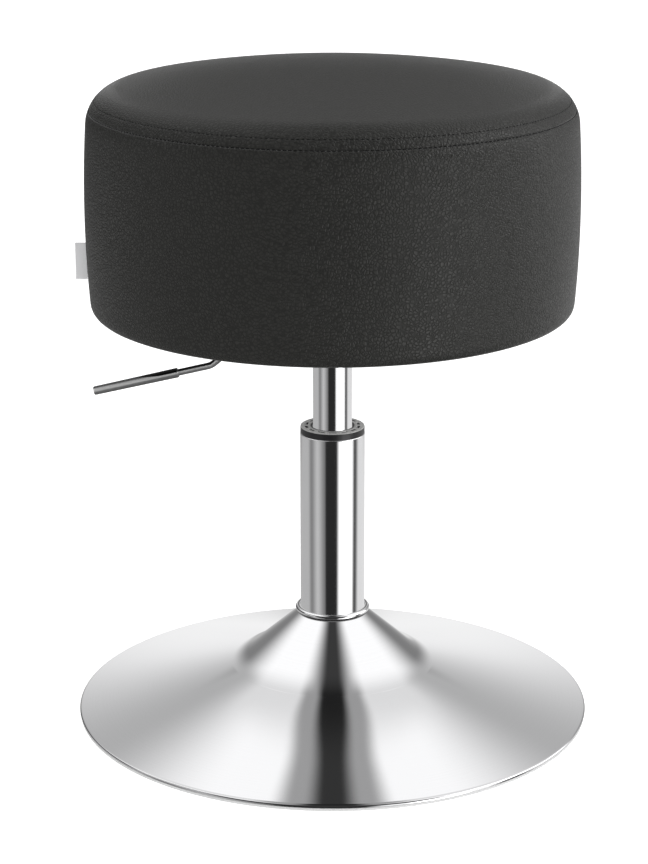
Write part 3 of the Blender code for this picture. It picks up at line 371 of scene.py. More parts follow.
TUBE_RADIUS = 0.0250
TUBE_WALL = 0.0015
TUBE_TOP = 0.2250
TUBE_BOTTOM = 0.0125
TUBE_FOOT_RADIUS = 0.0240
TUBE_LIP_RADIUS = 0.0165
TUBE_EDGE = 0.0004

chrome, place = new_finish("chrome")
drawn = place.node("Mapping", {"Vector": place, "Scale": (700.0, 700.0, 9.0)})
draw_lines = noise(drawn, scale=1.0, detail=4.0)
haze = noise(place, scale=45.0, detail=4.0)
surface(
    place,
    {
        "Base Color": mixed(haze, (0.86, 0.86, 0.87), (0.91, 0.91, 0.92)),
        "Metallic": 1.0,
        "Roughness": 0.07 + 0.05 * draw_lines + 0.02 * haze,
        "Normal": bumped(draw_lines, strength=0.03, distance=0.0001),
    },
)
tube_lip = TUBE_BOTTOM + TUBE_WALL
lip_share = TUBE_WALL / (NECK_HEIGHT - TUBE_BOTTOM)
lip_radius = TUBE_FOOT_RADIUS + (TUBE_RADIUS - TUBE_FOOT_RADIUS) * lip_share - TUBE_WALL
tube_outline = np.concatenate(
    (
        [(TUBE_LIP_RADIUS, TUBE_BOTTOM), (TUBE_FOOT_RADIUS, TUBE_BOTTOM), (TUBE_RADIUS, NECK_HEIGHT)],
        arc((TUBE_RADIUS - TUBE_EDGE, TUBE_TOP - TUBE_EDGE), TUBE_EDGE, 0.0, math.pi / 2, steps=4),
        [(TUBE_RADIUS - TUBE_WALL, TUBE_TOP), (TUBE_RADIUS - TUBE_WALL, NECK_HEIGHT)],
        [(lip_radius, tube_lip), (TUBE_LIP_RADIUS, tube_lip)],
    )
)
outer_tube = placed(skin("outer_tube", turned(tube_outline, even_turn(COLUMN_SIDES))), chrome)
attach(outer_tube, "base")
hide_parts("column_tube")


# Collar: moulded black plastic cap, snapped into the tube's mouth to guide the inner tube.
# Its top has a painted grey sheen, black painted shade at the bore and a ring of moulded dashes.

COLLAR_OUTER = 0.0248
COLLAR_TOP = 0.2305
COLLAR_SEAT = 0.2253
COLLAR_SKIRT = 0.0232
COLLAR_SKIRT_BOTTOM = 0.2170
COLLAR_BORE = 0.0156
COLLAR_ROUND = 0.0004
COLLAR_CHAMFER = 0.0004
PAINTED_SHEEN_START = COLLAR_TOP - 0.0005
PAINTED_SHEEN_FULL = COLLAR_TOP - 0.0001
BORE_SHADE_EDGE = 0.0166
BORE_SHADE_EDGE_END = 0.0176
DASHES = 14
DASH_RADIUS = 0.0204
DASH_LENGTH = 0.0060
DASH_WIDTH = 0.0021
DASH_DEPTH = 0.0022
DASH_DRAFT = 0.0001
ROUNDING = 1e-6

collar_plastic, place = new_finish("collar_plastic")
# Painted sheen: the top face is grey and partly metallic, but not in the dashes or the painted shade at the
# bore.
painted_sheen = ease(measured(place, UP), PAINTED_SHEEN_START, PAINTED_SHEEN_FULL)
painted_sheen = painted_sheen * ease(from_axis(place), BORE_SHADE_EDGE, BORE_SHADE_EDGE_END, "LINEAR")
blast = noise(place, scale=1500.0, detail=3.0)
surface(
    place,
    {
        "Base Color": mixed(painted_sheen * (0.5 + blast), (0.012, 0.012, 0.013), (0.68, 0.68, 0.67)),
        "Metallic": 0.7 * painted_sheen,
        "Roughness": 0.36 + 0.10 * painted_sheen + 0.08 * blast,
        "Normal": bumped(blast, strength=0.3, distance=0.0001),
    },
)
dash_inner = DASH_RADIUS - 0.5 * DASH_WIDTH
dash_outer = DASH_RADIUS + 0.5 * DASH_WIDTH
collar_corner = (COLLAR_OUTER - COLLAR_ROUND, COLLAR_TOP - COLLAR_ROUND)
collar_outline = np.concatenate(
    (
        [(COLLAR_BORE, COLLAR_SKIRT_BOTTOM), (COLLAR_SKIRT, COLLAR_SKIRT_BOTTOM)],
        [(COLLAR_SKIRT, COLLAR_SEAT), (COLLAR_OUTER, COLLAR_SEAT)],
        arc(collar_corner, COLLAR_ROUND, 0.0, math.pi / 2, steps=5),
        [(dash_outer + DASH_DRAFT, COLLAR_TOP), (dash_outer, COLLAR_TOP)],
        [(dash_inner, COLLAR_TOP), (dash_inner - DASH_DRAFT, COLLAR_TOP)],
        [(COLLAR_BORE + COLLAR_CHAMFER, COLLAR_TOP), (COLLAR_BORE, COLLAR_TOP - COLLAR_CHAMFER)],
    )
)
dash_half = 0.5 * DASH_LENGTH / DASH_RADIUS
dash_edge = DASH_DRAFT / DASH_RADIUS
pitch_half = math.pi / DASHES
one_dash = np.array([-pitch_half, -dash_half - dash_edge, -dash_half, 0.0, dash_half, dash_half + dash_edge])
dash_middles = even_turn(DASHES)[:, None] + pitch_half
collar_grid = turned(collar_outline, (dash_middles + one_dash).ravel())
along_dash = np.tile(np.abs(one_dash) <= dash_half, DASHES)
collar_reach = np.hypot(collar_grid[0, :, :, 0], collar_grid[0, :, :, 1])
in_dash = np.abs(collar_reach - DASH_RADIUS) < 0.5 * DASH_WIDTH + ROUNDING
in_dash &= (collar_grid[0, :, :, 2] > COLLAR_SEAT) & along_dash
collar_grid[0, :, :, 2] -= DASH_DEPTH * in_dash
collar = placed(skin("collar", collar_grid), collar_plastic)
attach(collar, "base")
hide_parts("column_collar")


# Inner tube: the gas spring's ground and chromed cylinder, which slides in the collar and carries the seat.
# Its ends are rolled in over the rod guide and the valve, and its top is tapered for the seat's socket.

INNER_RADIUS = 0.0150
INNER_WALL = 0.0015
INNER_LIP = 0.0015
INNER_TOP = 0.3080
INNER_TOP_RADIUS = 0.0138
INNER_MOUTH = 0.0085
INNER_TAPER_START = 0.2825
INNER_SIDES = 96

inner_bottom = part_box("gas_cylinder")[0].z
inner_lip_top = INNER_TOP - INNER_LIP
taper_share = (inner_lip_top - INNER_TAPER_START) / (INNER_TOP - INNER_TAPER_START)
inner_lip_radius = INNER_RADIUS + (INNER_TOP_RADIUS - INNER_RADIUS) * taper_share - INNER_WALL
inner_outline = np.concatenate(
    (
        [(INNER_MOUTH, inner_bottom), (INNER_RADIUS, inner_bottom), (INNER_RADIUS, INNER_TAPER_START)],
        [(INNER_TOP_RADIUS, INNER_TOP), (INNER_MOUTH, INNER_TOP), (INNER_MOUTH, inner_lip_top)],
        [(inner_lip_radius, inner_lip_top), (INNER_RADIUS - INNER_WALL, INNER_TAPER_START)],
        [(INNER_RADIUS - INNER_WALL, inner_bottom + INNER_LIP), (INNER_MOUTH, inner_bottom + INNER_LIP)],
    )
)
inner_tube = placed(skin("inner_tube", turned(inner_outline, even_turn(INNER_SIDES))), chrome)
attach(inner_tube, "seat")
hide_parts("gas_cylinder")


# Works inside the column and base: zinc-plated steel pressings, balls and washers, moulded bushes and seals.
# They are stacked in the tube from its lip up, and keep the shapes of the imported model.

BALLS = 8


def dress(finish, *nodes):
    """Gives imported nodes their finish."""
    for node in nodes:
        frame["nodes"][node].material_slots[0].material = finish


zinc, place = new_finish("zinc_plated_steel")
spangle = place.node("TexVoronoi", {"Vector": place, "Scale": 500.0}, output="Color")
crystal = place.node("RGBToBW", {"Color": spangle})
dull = noise(place, scale=120.0, detail=4.0)
surface(
    place,
    {
        "Base Color": mixed(0.5 * crystal + 0.5 * dull, (0.48, 0.49, 0.50), (0.64, 0.65, 0.66)),
        "Metallic": 1.0,
        "Roughness": 0.28 + 0.14 * dull,
        "Normal": bumped(crystal, strength=0.05, distance=0.0001),
    },
)
dress(zinc, "ballast_plate", "hub_socket", "tube_end_plate", "bearing_lower_race", "bearing_upper_race")
dress(zinc, "rod_washer", "rod_clip", "valve_body", "valve_pin", "lever_pivot_pin")
dress(chrome, "piston_rod", *(f"bearing_ball_{number}" for number in range(1, BALLS + 1)))

black_plastic, place = new_finish("black_plastic")
spark = noise(place, scale=2400.0, detail=2.0)
surface(
    place,
    {
        "Base Color": mixed(spark, (0.016, 0.016, 0.017), (0.024, 0.024, 0.025)),
        "Roughness": 0.30 + 0.12 * spark,
        "Normal": bumped(spark, strength=0.2, distance=0.00005),
    },
)
dress(black_plastic, "bearing_cage", "piston")

acetal, place = new_finish("white_acetal")
cloud = noise(place, scale=300.0, detail=3.0)
surface(
    place,
    {
        "Base Color": mixed(cloud, (0.70, 0.70, 0.67), (0.80, 0.80, 0.77)),
        "Roughness": 0.42 + 0.12 * cloud,
        "Normal": bumped(cloud, strength=0.08, distance=0.0001),
    },
)
dress(acetal, "guide_bush", "rod_guide")

rubber, place = new_finish("black_rubber")
bloom = noise(place, scale=260.0, detail=5.0)
surface(
    place,
    {
        "Base Color": mixed(bloom, (0.018, 0.018, 0.018), (0.040, 0.040, 0.041)),
        "Roughness": 0.72 + 0.16 * bloom,
        "Normal": bumped(bloom, strength=0.15, distance=0.0001),
    },
)
dress(rubber, "piston_ring", "bump_stop", "rod_seal")


# Seat plate: a square of sheet steel with a round pan pressed into it, a taper socket welded in the pan and
# a folded bracket for the lever. All of it is powder coated black and bolted up under the board.

PLATE_BOLTS = 4

powder_coat, place = new_finish("black_powder_coat")
peel = noise(place, scale=700.0, detail=2.0)
dust = noise(place, scale=30.0, detail=5.0)
surface(
    place,
    {
        "Base Color": mixed(dust, (0.014, 0.014, 0.015), (0.028, 0.028, 0.029)),
        "Roughness": 0.34 + 0.12 * dust + 0.06 * peel,
        "Normal": bumped(peel, strength=0.25, distance=0.0002),
    },
)
dress(powder_coat, "seat_plate", "taper_socket", "lever_bracket")
for number in range(1, PLATE_BOLTS + 1):
    dress(zinc, f"plate_bolt_{number}", f"plate_washer_{number}", f"tee_nut_{number}")


# Release lever: a round steel bar, chromed, bent twice so that it drops out of the pan and then runs out.
# It rocks on a pin in the bracket, and its inner end presses the valve's button. The bands of light along it
# are painted reflections, and its dark top side is a painted reflection of the black seat above it.

BAR_RADIUS = 0.0026
BAR_HEIGHT = 0.3165
BAR_END = 0.0060
KNEE = -0.0480
BEND = -0.0925
BEND_HEIGHT = 0.2783
BEND_ROUND = 0.0120
DROOP = math.radians(12.7)
BAR_REACH = 0.0860
STRAIGHT_SHARE = 0.25
BAR_SIDES = 24
PAINTED_REFLECTION_BANDS_ACROSS = 0.008
PAINTED_REFLECTION_BANDS = ((0.27, 0.17), (0.44, 0.26), (0.58, 0.98), (0.74, 0.98), (0.82, 0.08))
SEAT_REFLECTION_OVER = 0.0012
SEAT_REFLECTION_OVER_SLEEVE = 0.0001
SEAT_REFLECTION_OVER_TIP = 0.0026
SEAT_REFLECTION_SOFT = 0.0002
SLEEVE_MOUTH = 0.1180
MOUTH_SOFT = 0.0005
TIP_FADE = 0.1330
TIP_FADE_END = 0.1550


def rounded(before, corner, after, radius, steps):
    """Arc of a radius that touches the two straight runs at a corner.

    Its middle is on the halving line at radius / sin(half), and its points are middle + radius (cos, sin)
    between the two touching points.
    """
    one = (before - corner) / np.linalg.norm(before - corner)
    two = (after - corner) / np.linalg.norm(after - corner)
    half = 0.5 * math.acos(np.dot(one, two))
    middle = corner + (one + two) / np.linalg.norm(one + two) * radius / math.sin(half)
    touch = corner + one * radius / math.tan(half)
    across = (touch - middle) / radius
    angle = np.linspace(0.0, math.pi - 2 * half, steps + 1)[:, None]
    return middle + radius * (np.cos(angle) * across - np.sin(angle) * one)


def swept(path, radius, columns):
    """Grid of circles of one radius, square to a path in the XZ plane: p + r (cos t Y + sin t N)."""
    along = np.gradient(path, axis=0)
    along /= np.linalg.norm(along, axis=1, keepdims=True)
    side = np.array([0.0, 1.0, 0.0])
    up = np.cross(along, side)
    turn = even_turn(columns)[None, :, None]
    ring = np.cos(turn) * side + np.sin(turn) * -up[:, None]
    return (path[:, None] + radius * ring)[None]


def height_over(place, foot, way):
    """Height of a place over the line from a foot along a way in the XZ plane."""
    up = np.array([-way[2], 0.0, way[0]]) / np.linalg.norm(way)
    return measured(place, up) - float(np.dot(foot, up))


outward = np.array([-math.cos(DROOP), 0.0, -math.sin(DROOP)])
bar_start = np.array([BAR_END, 0.0, BAR_HEIGHT])
bar_knee = np.array([KNEE, 0.0, BAR_HEIGHT])
bar_bend = np.array([BEND, 0.0, BEND_HEIGHT])
bar_tip = bar_bend + BAR_REACH * outward
bar_path = np.concatenate(
    (
        np.linspace(bar_start, bar_start + STRAIGHT_SHARE * (bar_knee - bar_start), num=3),
        rounded(bar_start, bar_knee, bar_bend, BEND_ROUND, steps=16),
        rounded(bar_knee, bar_bend, bar_tip, BEND_ROUND, steps=16),
        np.linspace(bar_tip - STRAIGHT_SHARE * BAR_REACH * outward, bar_tip, num=3),
    )
)

# Painted reflections: grey bands across the bar and sleeve, and a near-black top where the seat above is
# mirrored.
chrome_with_painted_reflections, place = new_finish("chrome_with_painted_reflections")
over_bar = height_over(place, bar_bend, -outward)
over_rise = height_over(place, bar_bend, bar_knee - bar_bend)
over = place.node("Math", {0: over_bar, 1: over_rise}, operation="MINIMUM")
out = measured(place, (-1.0, 0.0, 0.0))
on_sleeve = ease(out, SLEEVE_MOUTH - MOUTH_SOFT, SLEEVE_MOUTH + MOUTH_SOFT, "LINEAR")
to_tip = ease(out, TIP_FADE, TIP_FADE_END, "LINEAR")
painted_seat_reflection_edge = SEAT_REFLECTION_OVER + SEAT_REFLECTION_OVER_SLEEVE * on_sleeve + SEAT_REFLECTION_OVER_TIP * to_tip
painted_seat_reflection = ease(over - painted_seat_reflection_edge, -SEAT_REFLECTION_SOFT, SEAT_REFLECTION_SOFT, "LINEAR")
stops = tuple((stop, (grey, grey, grey)) for stop, grey in PAINTED_REFLECTION_BANDS)
painted_reflection_bands = place.node("ValToRGB", {0: 0.5 + over * (1.0 / PAINTED_REFLECTION_BANDS_ACROSS)}, stops=stops)
painted_reflection_colour = {0: painted_seat_reflection, 6: painted_reflection_bands, 7: (0.004, 0.004, 0.004, 1.0)}
polish = noise(place, scale=600.0, detail=3.0)
surface(
    place,
    {
        "Base Color": place.node("Mix", painted_reflection_colour, output=2, data_type="RGBA"),
        "Metallic": 0.55,
        "Specular IOR Level": 0.12,
        "Roughness": 0.20 + 0.10 * polish,
        "Normal": bumped(polish, strength=0.05, distance=0.0001),
    },
)
bar_grid = swept(bar_path, BAR_RADIUS, BAR_SIDES)
lever_bar = placed(skin("lever_bar", bar_grid, joined=False), chrome_with_painted_reflections)
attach(lever_bar, "lever")
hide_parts("lever_rod")


# Lever sleeve: a chromed steel sleeve pushed over the bar's outer end as a grip.
# It tapers a little to a rounded tip and is bored from its inner end.

SLEEVE_START = 0.0262
SLEEVE_LENGTH = 0.0666
SLEEVE_RADIUS = 0.0038
SLEEVE_TIP_RADIUS = 0.0034
SLEEVE_TIP_ROUND = 0.0012
SLEEVE_EDGE = 0.0003
SLEEVE_BORE = 0.0029
SLEEVE_SIDES = 40
BORE_GAP = 0.0003
NEAR_AXIS = 1e-5

bore_end = BAR_REACH - SLEEVE_START + BORE_GAP
tip_centre = (SLEEVE_TIP_RADIUS - SLEEVE_TIP_ROUND, SLEEVE_LENGTH - SLEEVE_TIP_ROUND)
sleeve_outline = np.concatenate(
    (
        [(NEAR_AXIS, bore_end), (SLEEVE_BORE, bore_end), (SLEEVE_BORE, 0.0)],
        [(SLEEVE_RADIUS - SLEEVE_EDGE, 0.0), (SLEEVE_RADIUS, SLEEVE_EDGE)],
        arc(tip_centre, SLEEVE_TIP_ROUND, 0.0, math.pi / 2, steps=8),
        [(NEAR_AXIS, SLEEVE_LENGTH)],
    )
)
sleeve_axes = np.array([[0.0, 1.0, 0.0], np.cross(outward, [0.0, 1.0, 0.0]), outward])
sleeve_grid = turned(sleeve_outline, even_turn(SLEEVE_SIDES)) @ sleeve_axes
sleeve_grid = sleeve_grid + bar_bend + SLEEVE_START * outward
lever_sleeve = placed(skin("lever_sleeve", sleeve_grid, joined=False), chrome_with_painted_reflections)
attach(lever_sleeve, "lever")
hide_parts("lever_grip")


# Seat board: a disc of birch plywood, sawn and drilled for the tee nuts.
# The foam is glued on it and the cover is stapled to its underside.

PLY_WAVES = 2100.0

plywood, place = new_finish("birch_plywood")
lengthways = place.node("Mapping", {"Vector": place, "Scale": (6.0, 120.0, 900.0)})
fibre = noise(lengthways, scale=1.0, detail=6.0)
plies = place.node("Math", {0: measured(place, UP) * PLY_WAVES}, operation="SINE")
surface(
    place,
    {
        "Base Color": mixed(0.75 * fibre + 0.12 * plies, (0.42, 0.28, 0.16), (0.72, 0.55, 0.36)),
        "Roughness": 0.62 + 0.2 * fibre,
        "Normal": bumped(fibre, strength=0.2, distance=0.0002),
    },
)
dress(plywood, "seat_board")


# Seat cover: two pieces of soft charcoal-black leathercloth, sewn together round the shoulder.
# The band goes up the side from its hem under the board, the lid covers the top, and foam fills them.
# The pebbled grain is stretched flatter over the top.

HEM_RADIUS = 0.1498
SEAT_BOTTOM = 0.3246
BOTTOM_ROUND = 0.0076
SIDE_FOOT = SEAT_BOTTOM + BOTTOM_ROUND
SIDE_HEAD = 0.4653
FOOT_RADIUS = 0.1828
HEAD_RADIUS = 0.1831
BULGE = 0.0024
TOP_ROUND = 0.0285
CROWN = 0.0144
PROFILE_STEP = 0.0005
SOFTENING = 24
SOFTENING_WIDTH = 3.0
SEAM_ANGLE = math.radians(24)
SEAM_DIP = 0.0008
SEAM_SOFT = 0.0006
SEAM_EDGE = 0.0002
SEAM_CLEAR = 0.007
NEAR_SEAM = np.array([0.0006, 0.0012, 0.0019, 0.0027, 0.0037, 0.0050])
SECOND_SEAM = 0.0082
SECOND_DIP = 0.00012
SECOND_SOFT = 0.0008
SECOND_NEAR = 0.0024
SECOND_CLEAR = 0.004
COVER_WALL = 0.0014
SEAT_SIDES = 288
GRAIN_DRIFT = 0.0016
PEBBLE_ROUND = 0.27
STRETCH_START = 0.484
STRETCH_FULL = 0.494


def drum_profile():
    """Outside of the seat from its hem to the middle of its top, in even steps.

    Flat hem, quarter round, wall r = foot + (head - foot) s + 4 bulge s (1 - s), shoulder round and crown
    z = edge + crown (1 - (r / edge)^2), run together and softened so that the curve has no breaks.
    """
    crown_angle = math.atan2(HEAD_RADIUS - TOP_ROUND, 2 * CROWN)
    share = np.linspace(0.0, 1.0, num=60)
    wall_radius = FOOT_RADIUS + (HEAD_RADIUS - FOOT_RADIUS) * share + 4 * BULGE * share * (1 - share)
    wall = np.stack((wall_radius, SIDE_FOOT + (SIDE_HEAD - SIDE_FOOT) * share), -1)
    shoulder = arc((HEAD_RADIUS - TOP_ROUND, SIDE_HEAD), TOP_ROUND, 0.0, crown_angle, steps=40)
    edge = shoulder[-1]
    crown_radius = edge[0] * np.linspace(1.0, 0.0, num=80)[1:]
    crown = np.stack((crown_radius, edge[1] + CROWN * (1 - (crown_radius / edge[0]) ** 2)), -1)
    hem = np.linspace((HEM_RADIUS, SEAT_BOTTOM), (FOOT_RADIUS - BOTTOM_ROUND, SEAT_BOTTOM), num=12)
    corner = arc((FOOT_RADIUS - BOTTOM_ROUND, SIDE_FOOT), BOTTOM_ROUND, -math.pi / 2, 0.0, steps=16)
    rough = np.concatenate((hem, corner[1:], wall[1:], shoulder[1:], crown))
    length = np.concatenate(([0.0], np.cumsum(np.linalg.norm(np.diff(rough, axis=0), axis=1))))
    spot = np.arange(0.0, length[-1], PROFILE_STEP)
    fine = np.stack([np.interp(spot, length, axis) for axis in rough.T], -1)
    window = np.exp(-0.5 * (np.arange(-SOFTENING, SOFTENING + 1) / SOFTENING_WIDTH) ** 2)
    window /= window.sum()
    before = 2 * fine[0] - fine[SOFTENING:0:-1]
    after = fine[-2 : -2 - SOFTENING : -1] * (-1, 1)
    longer = np.concatenate((before, fine, after))
    soft = np.stack([np.convolve(axis, window, "valid") for axis in longer.T], -1)
    return spot, soft


spot, drum = drum_profile()
seam_point = arc((HEAD_RADIUS - TOP_ROUND, SIDE_HEAD), TOP_ROUND, SEAM_ANGLE, SEAM_ANGLE, steps=1)[0]
seam_place = spot[np.argmin(np.linalg.norm(drum - seam_point, axis=1))]
second_place = seam_place + SECOND_SEAM


def on_drum(places, inset=0.0):
    """Points of the drum at distances along its profile, set in square to it."""
    along = np.gradient(drum, axis=0)
    along /= np.linalg.norm(along, axis=1, keepdims=True)
    inward = np.stack((-along[:, 1], along[:, 0]), -1)
    point = np.stack([np.interp(places, spot, axis) for axis in drum.T], -1)
    way = np.stack([np.interp(places, spot, axis) for axis in inward.T], -1)
    return point + np.broadcast_to(inset, np.shape(places))[:, None] * way


def seam_inset(places):
    """How far the cover is drawn in: dip e^-(d / soft)^2 at each line of stitches."""
    first = SEAM_DIP * np.exp(-(((places - seam_place) / SEAM_SOFT) ** 2))
    second = SECOND_DIP * np.exp(-(((places - second_place) / SECOND_SOFT) ** 2))
    return first + second


leather, place = new_finish("black_leathercloth")
drift = place.node("TexNoise", {"Vector": place, "Scale": 220.0, "Detail": 2.0}, output="Color")
shift = place.node("VectorMath", {0: drift, 1: (0.5, 0.5, 0.5)}, operation="SUBTRACT")
small = place.node("VectorMath", {0: shift, "Scale": GRAIN_DRIFT}, operation="SCALE")
warped = place.node("VectorMath", {0: place, 1: small}, operation="ADD")
crease = place.node("TexVoronoi", {"Vector": warped, "Scale": 400.0}, feature="DISTANCE_TO_EDGE")
pebble = ease(crease, 0.0, PEBBLE_ROUND)
pores = noise(place, scale=1800.0, detail=2.0)
wear = noise(place, scale=12.0, detail=3.0)
stretch = ease(measured(place, UP), STRETCH_START, STRETCH_FULL, "LINEAR")
# The creases of the grain get a darker base colour: painted shade in the creases.
grain_and_crease_shade = pebble + 0.7 * stretch * (1.0 - pebble)
relief = grain_and_crease_shade + 0.15 * pores * (1.0 - 0.75 * stretch)
surface(
    place,
    {
        "Base Color": mixed(0.7 * grain_and_crease_shade + 0.3 * wear, (0.0130, 0.0130, 0.0119), (0.0272, 0.0272, 0.0249)),
        "Roughness": 0.42 - 0.11 * grain_and_crease_shade + 0.04 * wear,
        "IOR": 1.35,
        "Normal": bumped(relief, strength=1.0, distance=0.00026),
    },
)

band_edge = seam_place - SEAM_EDGE
band_rows = np.linspace(0.0, seam_place - SEAM_CLEAR, num=84)
band_places = np.concatenate((band_rows, seam_place - NEAR_SEAM[::-1], [band_edge]))
band_lining = np.linspace(band_edge, 0.0, num=34)
band_outline = np.concatenate(
    (
        on_drum(band_places, seam_inset(band_places)),
        on_drum(band_lining, COVER_WALL + seam_inset(band_lining)),
    )
)
cover_side = placed(skin("cover_side", turned(band_outline, even_turn(SEAT_SIDES))), leather)
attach(cover_side, "seat")
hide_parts("cover_band")

lid_edge = seam_place + SEAM_EDGE
lid_end = spot[-1] - PROFILE_STEP
near_second = second_place + np.linspace(-SECOND_NEAR, SECOND_NEAR, num=13)
lid_rows = np.linspace(second_place + SECOND_CLEAR, lid_end, num=84)
lid_places = np.concatenate(([lid_edge], seam_place + NEAR_SEAM, near_second, lid_rows))
lid_lining = np.linspace(lid_end, lid_edge, num=30)
lid_outline = np.concatenate(
    (
        on_drum(lid_lining, COVER_WALL + seam_inset(lid_lining)),
        on_drum(lid_places, seam_inset(lid_places)),
    )
)
cover_lid = placed(skin("cover_lid", turned(lid_outline, even_turn(SEAT_SIDES)), joined=False), leather)
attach(cover_lid, "seat")
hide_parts("cover_top", "seat_foam")


# Stitches: black polyester thread, lockstitched through the seam and once more through the lid above it.
# Each stitch arches over the leathercloth and dives into it at both ends.

STITCHES = 305
STITCH_LENGTH = 0.0028
STITCH_DIVE = 0.0003
STITCH_SINK = 0.0003
STITCH_ROWS = np.array([-0.98, -0.7, -0.25, 0.25, 0.7, 0.98])
SECOND_TURN = 0.006
THREAD_RADIUS = 0.0003
THREAD_SIDES = 6

thread, place = new_finish("black_thread")
twist = noise(place, scale=4000.0, detail=2.0)
surface(
    place,
    {
        "Base Color": mixed(twist, (0.002, 0.002, 0.002), (0.005, 0.005, 0.005)),
        "Roughness": 0.75 + 0.15 * twist,
        "Specular IOR Level": 0.1,
        "Normal": bumped(twist, strength=0.4, distance=0.0001),
    },
)


def stitch_row(line, start, sunk):
    """Grid [stitch, row, column] of short arched threads round the drum.

    A stitch is c + x T + (r cos a - dive u^2) N + r sin a B, with T along the seam, N out of the cover,
    u = 2 x / length and r = thread (1 - u^4)^(1/2).
    """
    below, centre, above = on_drum(np.array([line - PROFILE_STEP, line, line + PROFILE_STEP]), sunk)
    rise = (above - below) / np.linalg.norm(above - below)
    turn = (start + even_turn(STITCHES))[:, None, None, None]
    out = np.concatenate((np.cos(turn), np.sin(turn), 0.0 * turn), -1)
    along = np.concatenate((-np.sin(turn), np.cos(turn), 0.0 * turn), -1)
    up = np.array(UP)
    normal = rise[1] * out - rise[0] * up
    beside = rise[0] * out + rise[1] * up
    share = STITCH_ROWS[None, :, None, None]
    thick = THREAD_RADIUS * np.sqrt(1.0 - share**4)
    angle = even_turn(THREAD_SIDES)[None, None, :, None]
    middle = centre[0] * out + centre[1] * up + 0.5 * STITCH_LENGTH * share * along
    return middle + (thick * np.cos(angle) - STITCH_DIVE * share**2) * normal + thick * np.sin(angle) * beside


seam_row = stitch_row(seam_place, 0.0, STITCH_SINK)
second_row = stitch_row(second_place, SECOND_TURN, SECOND_DIP)
stitches = placed(skin("stitches", np.concatenate((seam_row, second_row)), joined=False), thread)
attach(stitches, "seat")


# Felt ring: thin black non-woven cloth, stapled under the board to hide the cover's hem.
# It is drawn flat over the board's underside and leaves the seat plate's pan clear.

FELT_INNER = 0.0580
FELT_OUTER = 0.1578
FELT_BOTTOM = 0.3235
FELT_TOP = 0.3243
FELT_ROWS = 24
FELT_SIDES = 144

felt, place = new_finish("black_felt")
tangle = {"Vector": place, "Scale": 900.0, "Detail": 5.0, "Distortion": 2.0}
fibres = place.node("TexNoise", tangle)
surface(
    place,
    {
        "Base Color": mixed(fibres, (0.012, 0.012, 0.012), (0.034, 0.034, 0.034)),
        "Roughness": 0.88 + 0.1 * fibres,
        "Normal": bumped(fibres, strength=0.5, distance=0.0003),
    },
)
felt_radii = np.linspace(FELT_INNER, FELT_OUTER, FELT_ROWS)
felt_outline = np.concatenate(
    (
        np.stack((felt_radii, np.full(FELT_ROWS, FELT_BOTTOM)), -1),
        np.stack((felt_radii[::-1], np.full(FELT_ROWS, FELT_TOP)), -1),
    )
)
felt_ring = placed(skin("felt_ring", turned(felt_outline, even_turn(FELT_SIDES))), felt)
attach(felt_ring, "seat")
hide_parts("dust_cover")


# Side tab: a loop of white woven tape, folded and caught in the band's closing seam. It is left blank.
# It stands out of the side of the seat, above the lever.

TAB_BOTTOM = 0.3460
TAB_TOP = 0.3740
TAB_ROOT = 0.1852
TAB_REACH = 0.0089
TAB_WALL = 0.0010

white_tape, place = new_finish("white_tape")
weft = place.node("Mapping", {"Vector": place, "Scale": (5200.0, 5200.0, 9000.0)})
woven = place.node("TexVoronoi", {"Vector": weft, "Scale": 1.0}, feature="SMOOTH_F1")
surface(
    place,
    {
        "Base Color": mixed(woven, (0.80, 0.80, 0.81), (0.66, 0.66, 0.67)),
        "Roughness": 0.75 + 0.1 * woven,
        "Normal": bumped(1.0 - woven, strength=0.3, distance=0.0001),
    },
)
fold_centre = (TAB_ROOT + TAB_REACH - 0.5 * TAB_WALL, 0.0)
fold = arc(fold_centre, 0.5 * TAB_WALL, -math.pi / 2, math.pi / 2, steps=8)
tab_plan = np.concatenate(([(TAB_ROOT, -0.5 * TAB_WALL)], fold, [(TAB_ROOT, 0.5 * TAB_WALL)]))
tab_heights = np.linspace(TAB_BOTTOM, TAB_TOP, num=12)
tab_grid = np.empty((1, len(tab_heights), len(tab_plan), 3))
tab_grid[0, :, :, :2] = -tab_plan
tab_grid[0, :, :, 2] = tab_heights[:, None]
tab = placed(skin("tab", tab_grid, joined=False), white_tape)
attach(tab, "seat")
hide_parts("side_label")


# Studio: a plain white floor, a ring of large soft boxes and black flags far away, and the camera.
# The boxes are parts of the sky, each given by where it starts and ends round and above the stool.
# Pieces and floor are kept out of mirror images, because the photo shows none of them in the metal.

FLOOR_HALF = 15.0
LENS_BACK = 0.921
LENS_UP = 0.389
DISH_CURVE = 0.0000095
BEND_CURVE = 0.000017
BACK_LEVEL = 0.18
FLOOR_LEVEL = 0.14
SOFT_LEVEL = 0.70
CAMERA_LENS = 103.4
CAMERA_PLACE = (0.0, -1.829, 0.781)
CAMERA_TURN = (90.0 - 16.91, 0.05, 0.19)

paper, place = new_finish("studio_paper")
surface(
    place,
    {
        "Base Color": mixed(noise(place, scale=60.0, detail=3.0), (0.90, 0.90, 0.90), (0.92, 0.92, 0.92)),
        "Roughness": 0.9,
        "Specular IOR Level": 0.0,
        "Emission Color": (1.0, 1.0, 1.0, 1.0),
        "Emission Strength": 0.60,
    },
)
floor_corners = FLOOR_HALF * np.array([(-1, -1, 0), (1, -1, 0), (1, 1, 0), (-1, 1, 0)])
floor_mesh = bpy.data.meshes.new("floor")
floor_mesh.from_pydata(floor_corners.tolist(), [], [(0, 1, 2, 3)])
floor = placed(floor_mesh, paper)


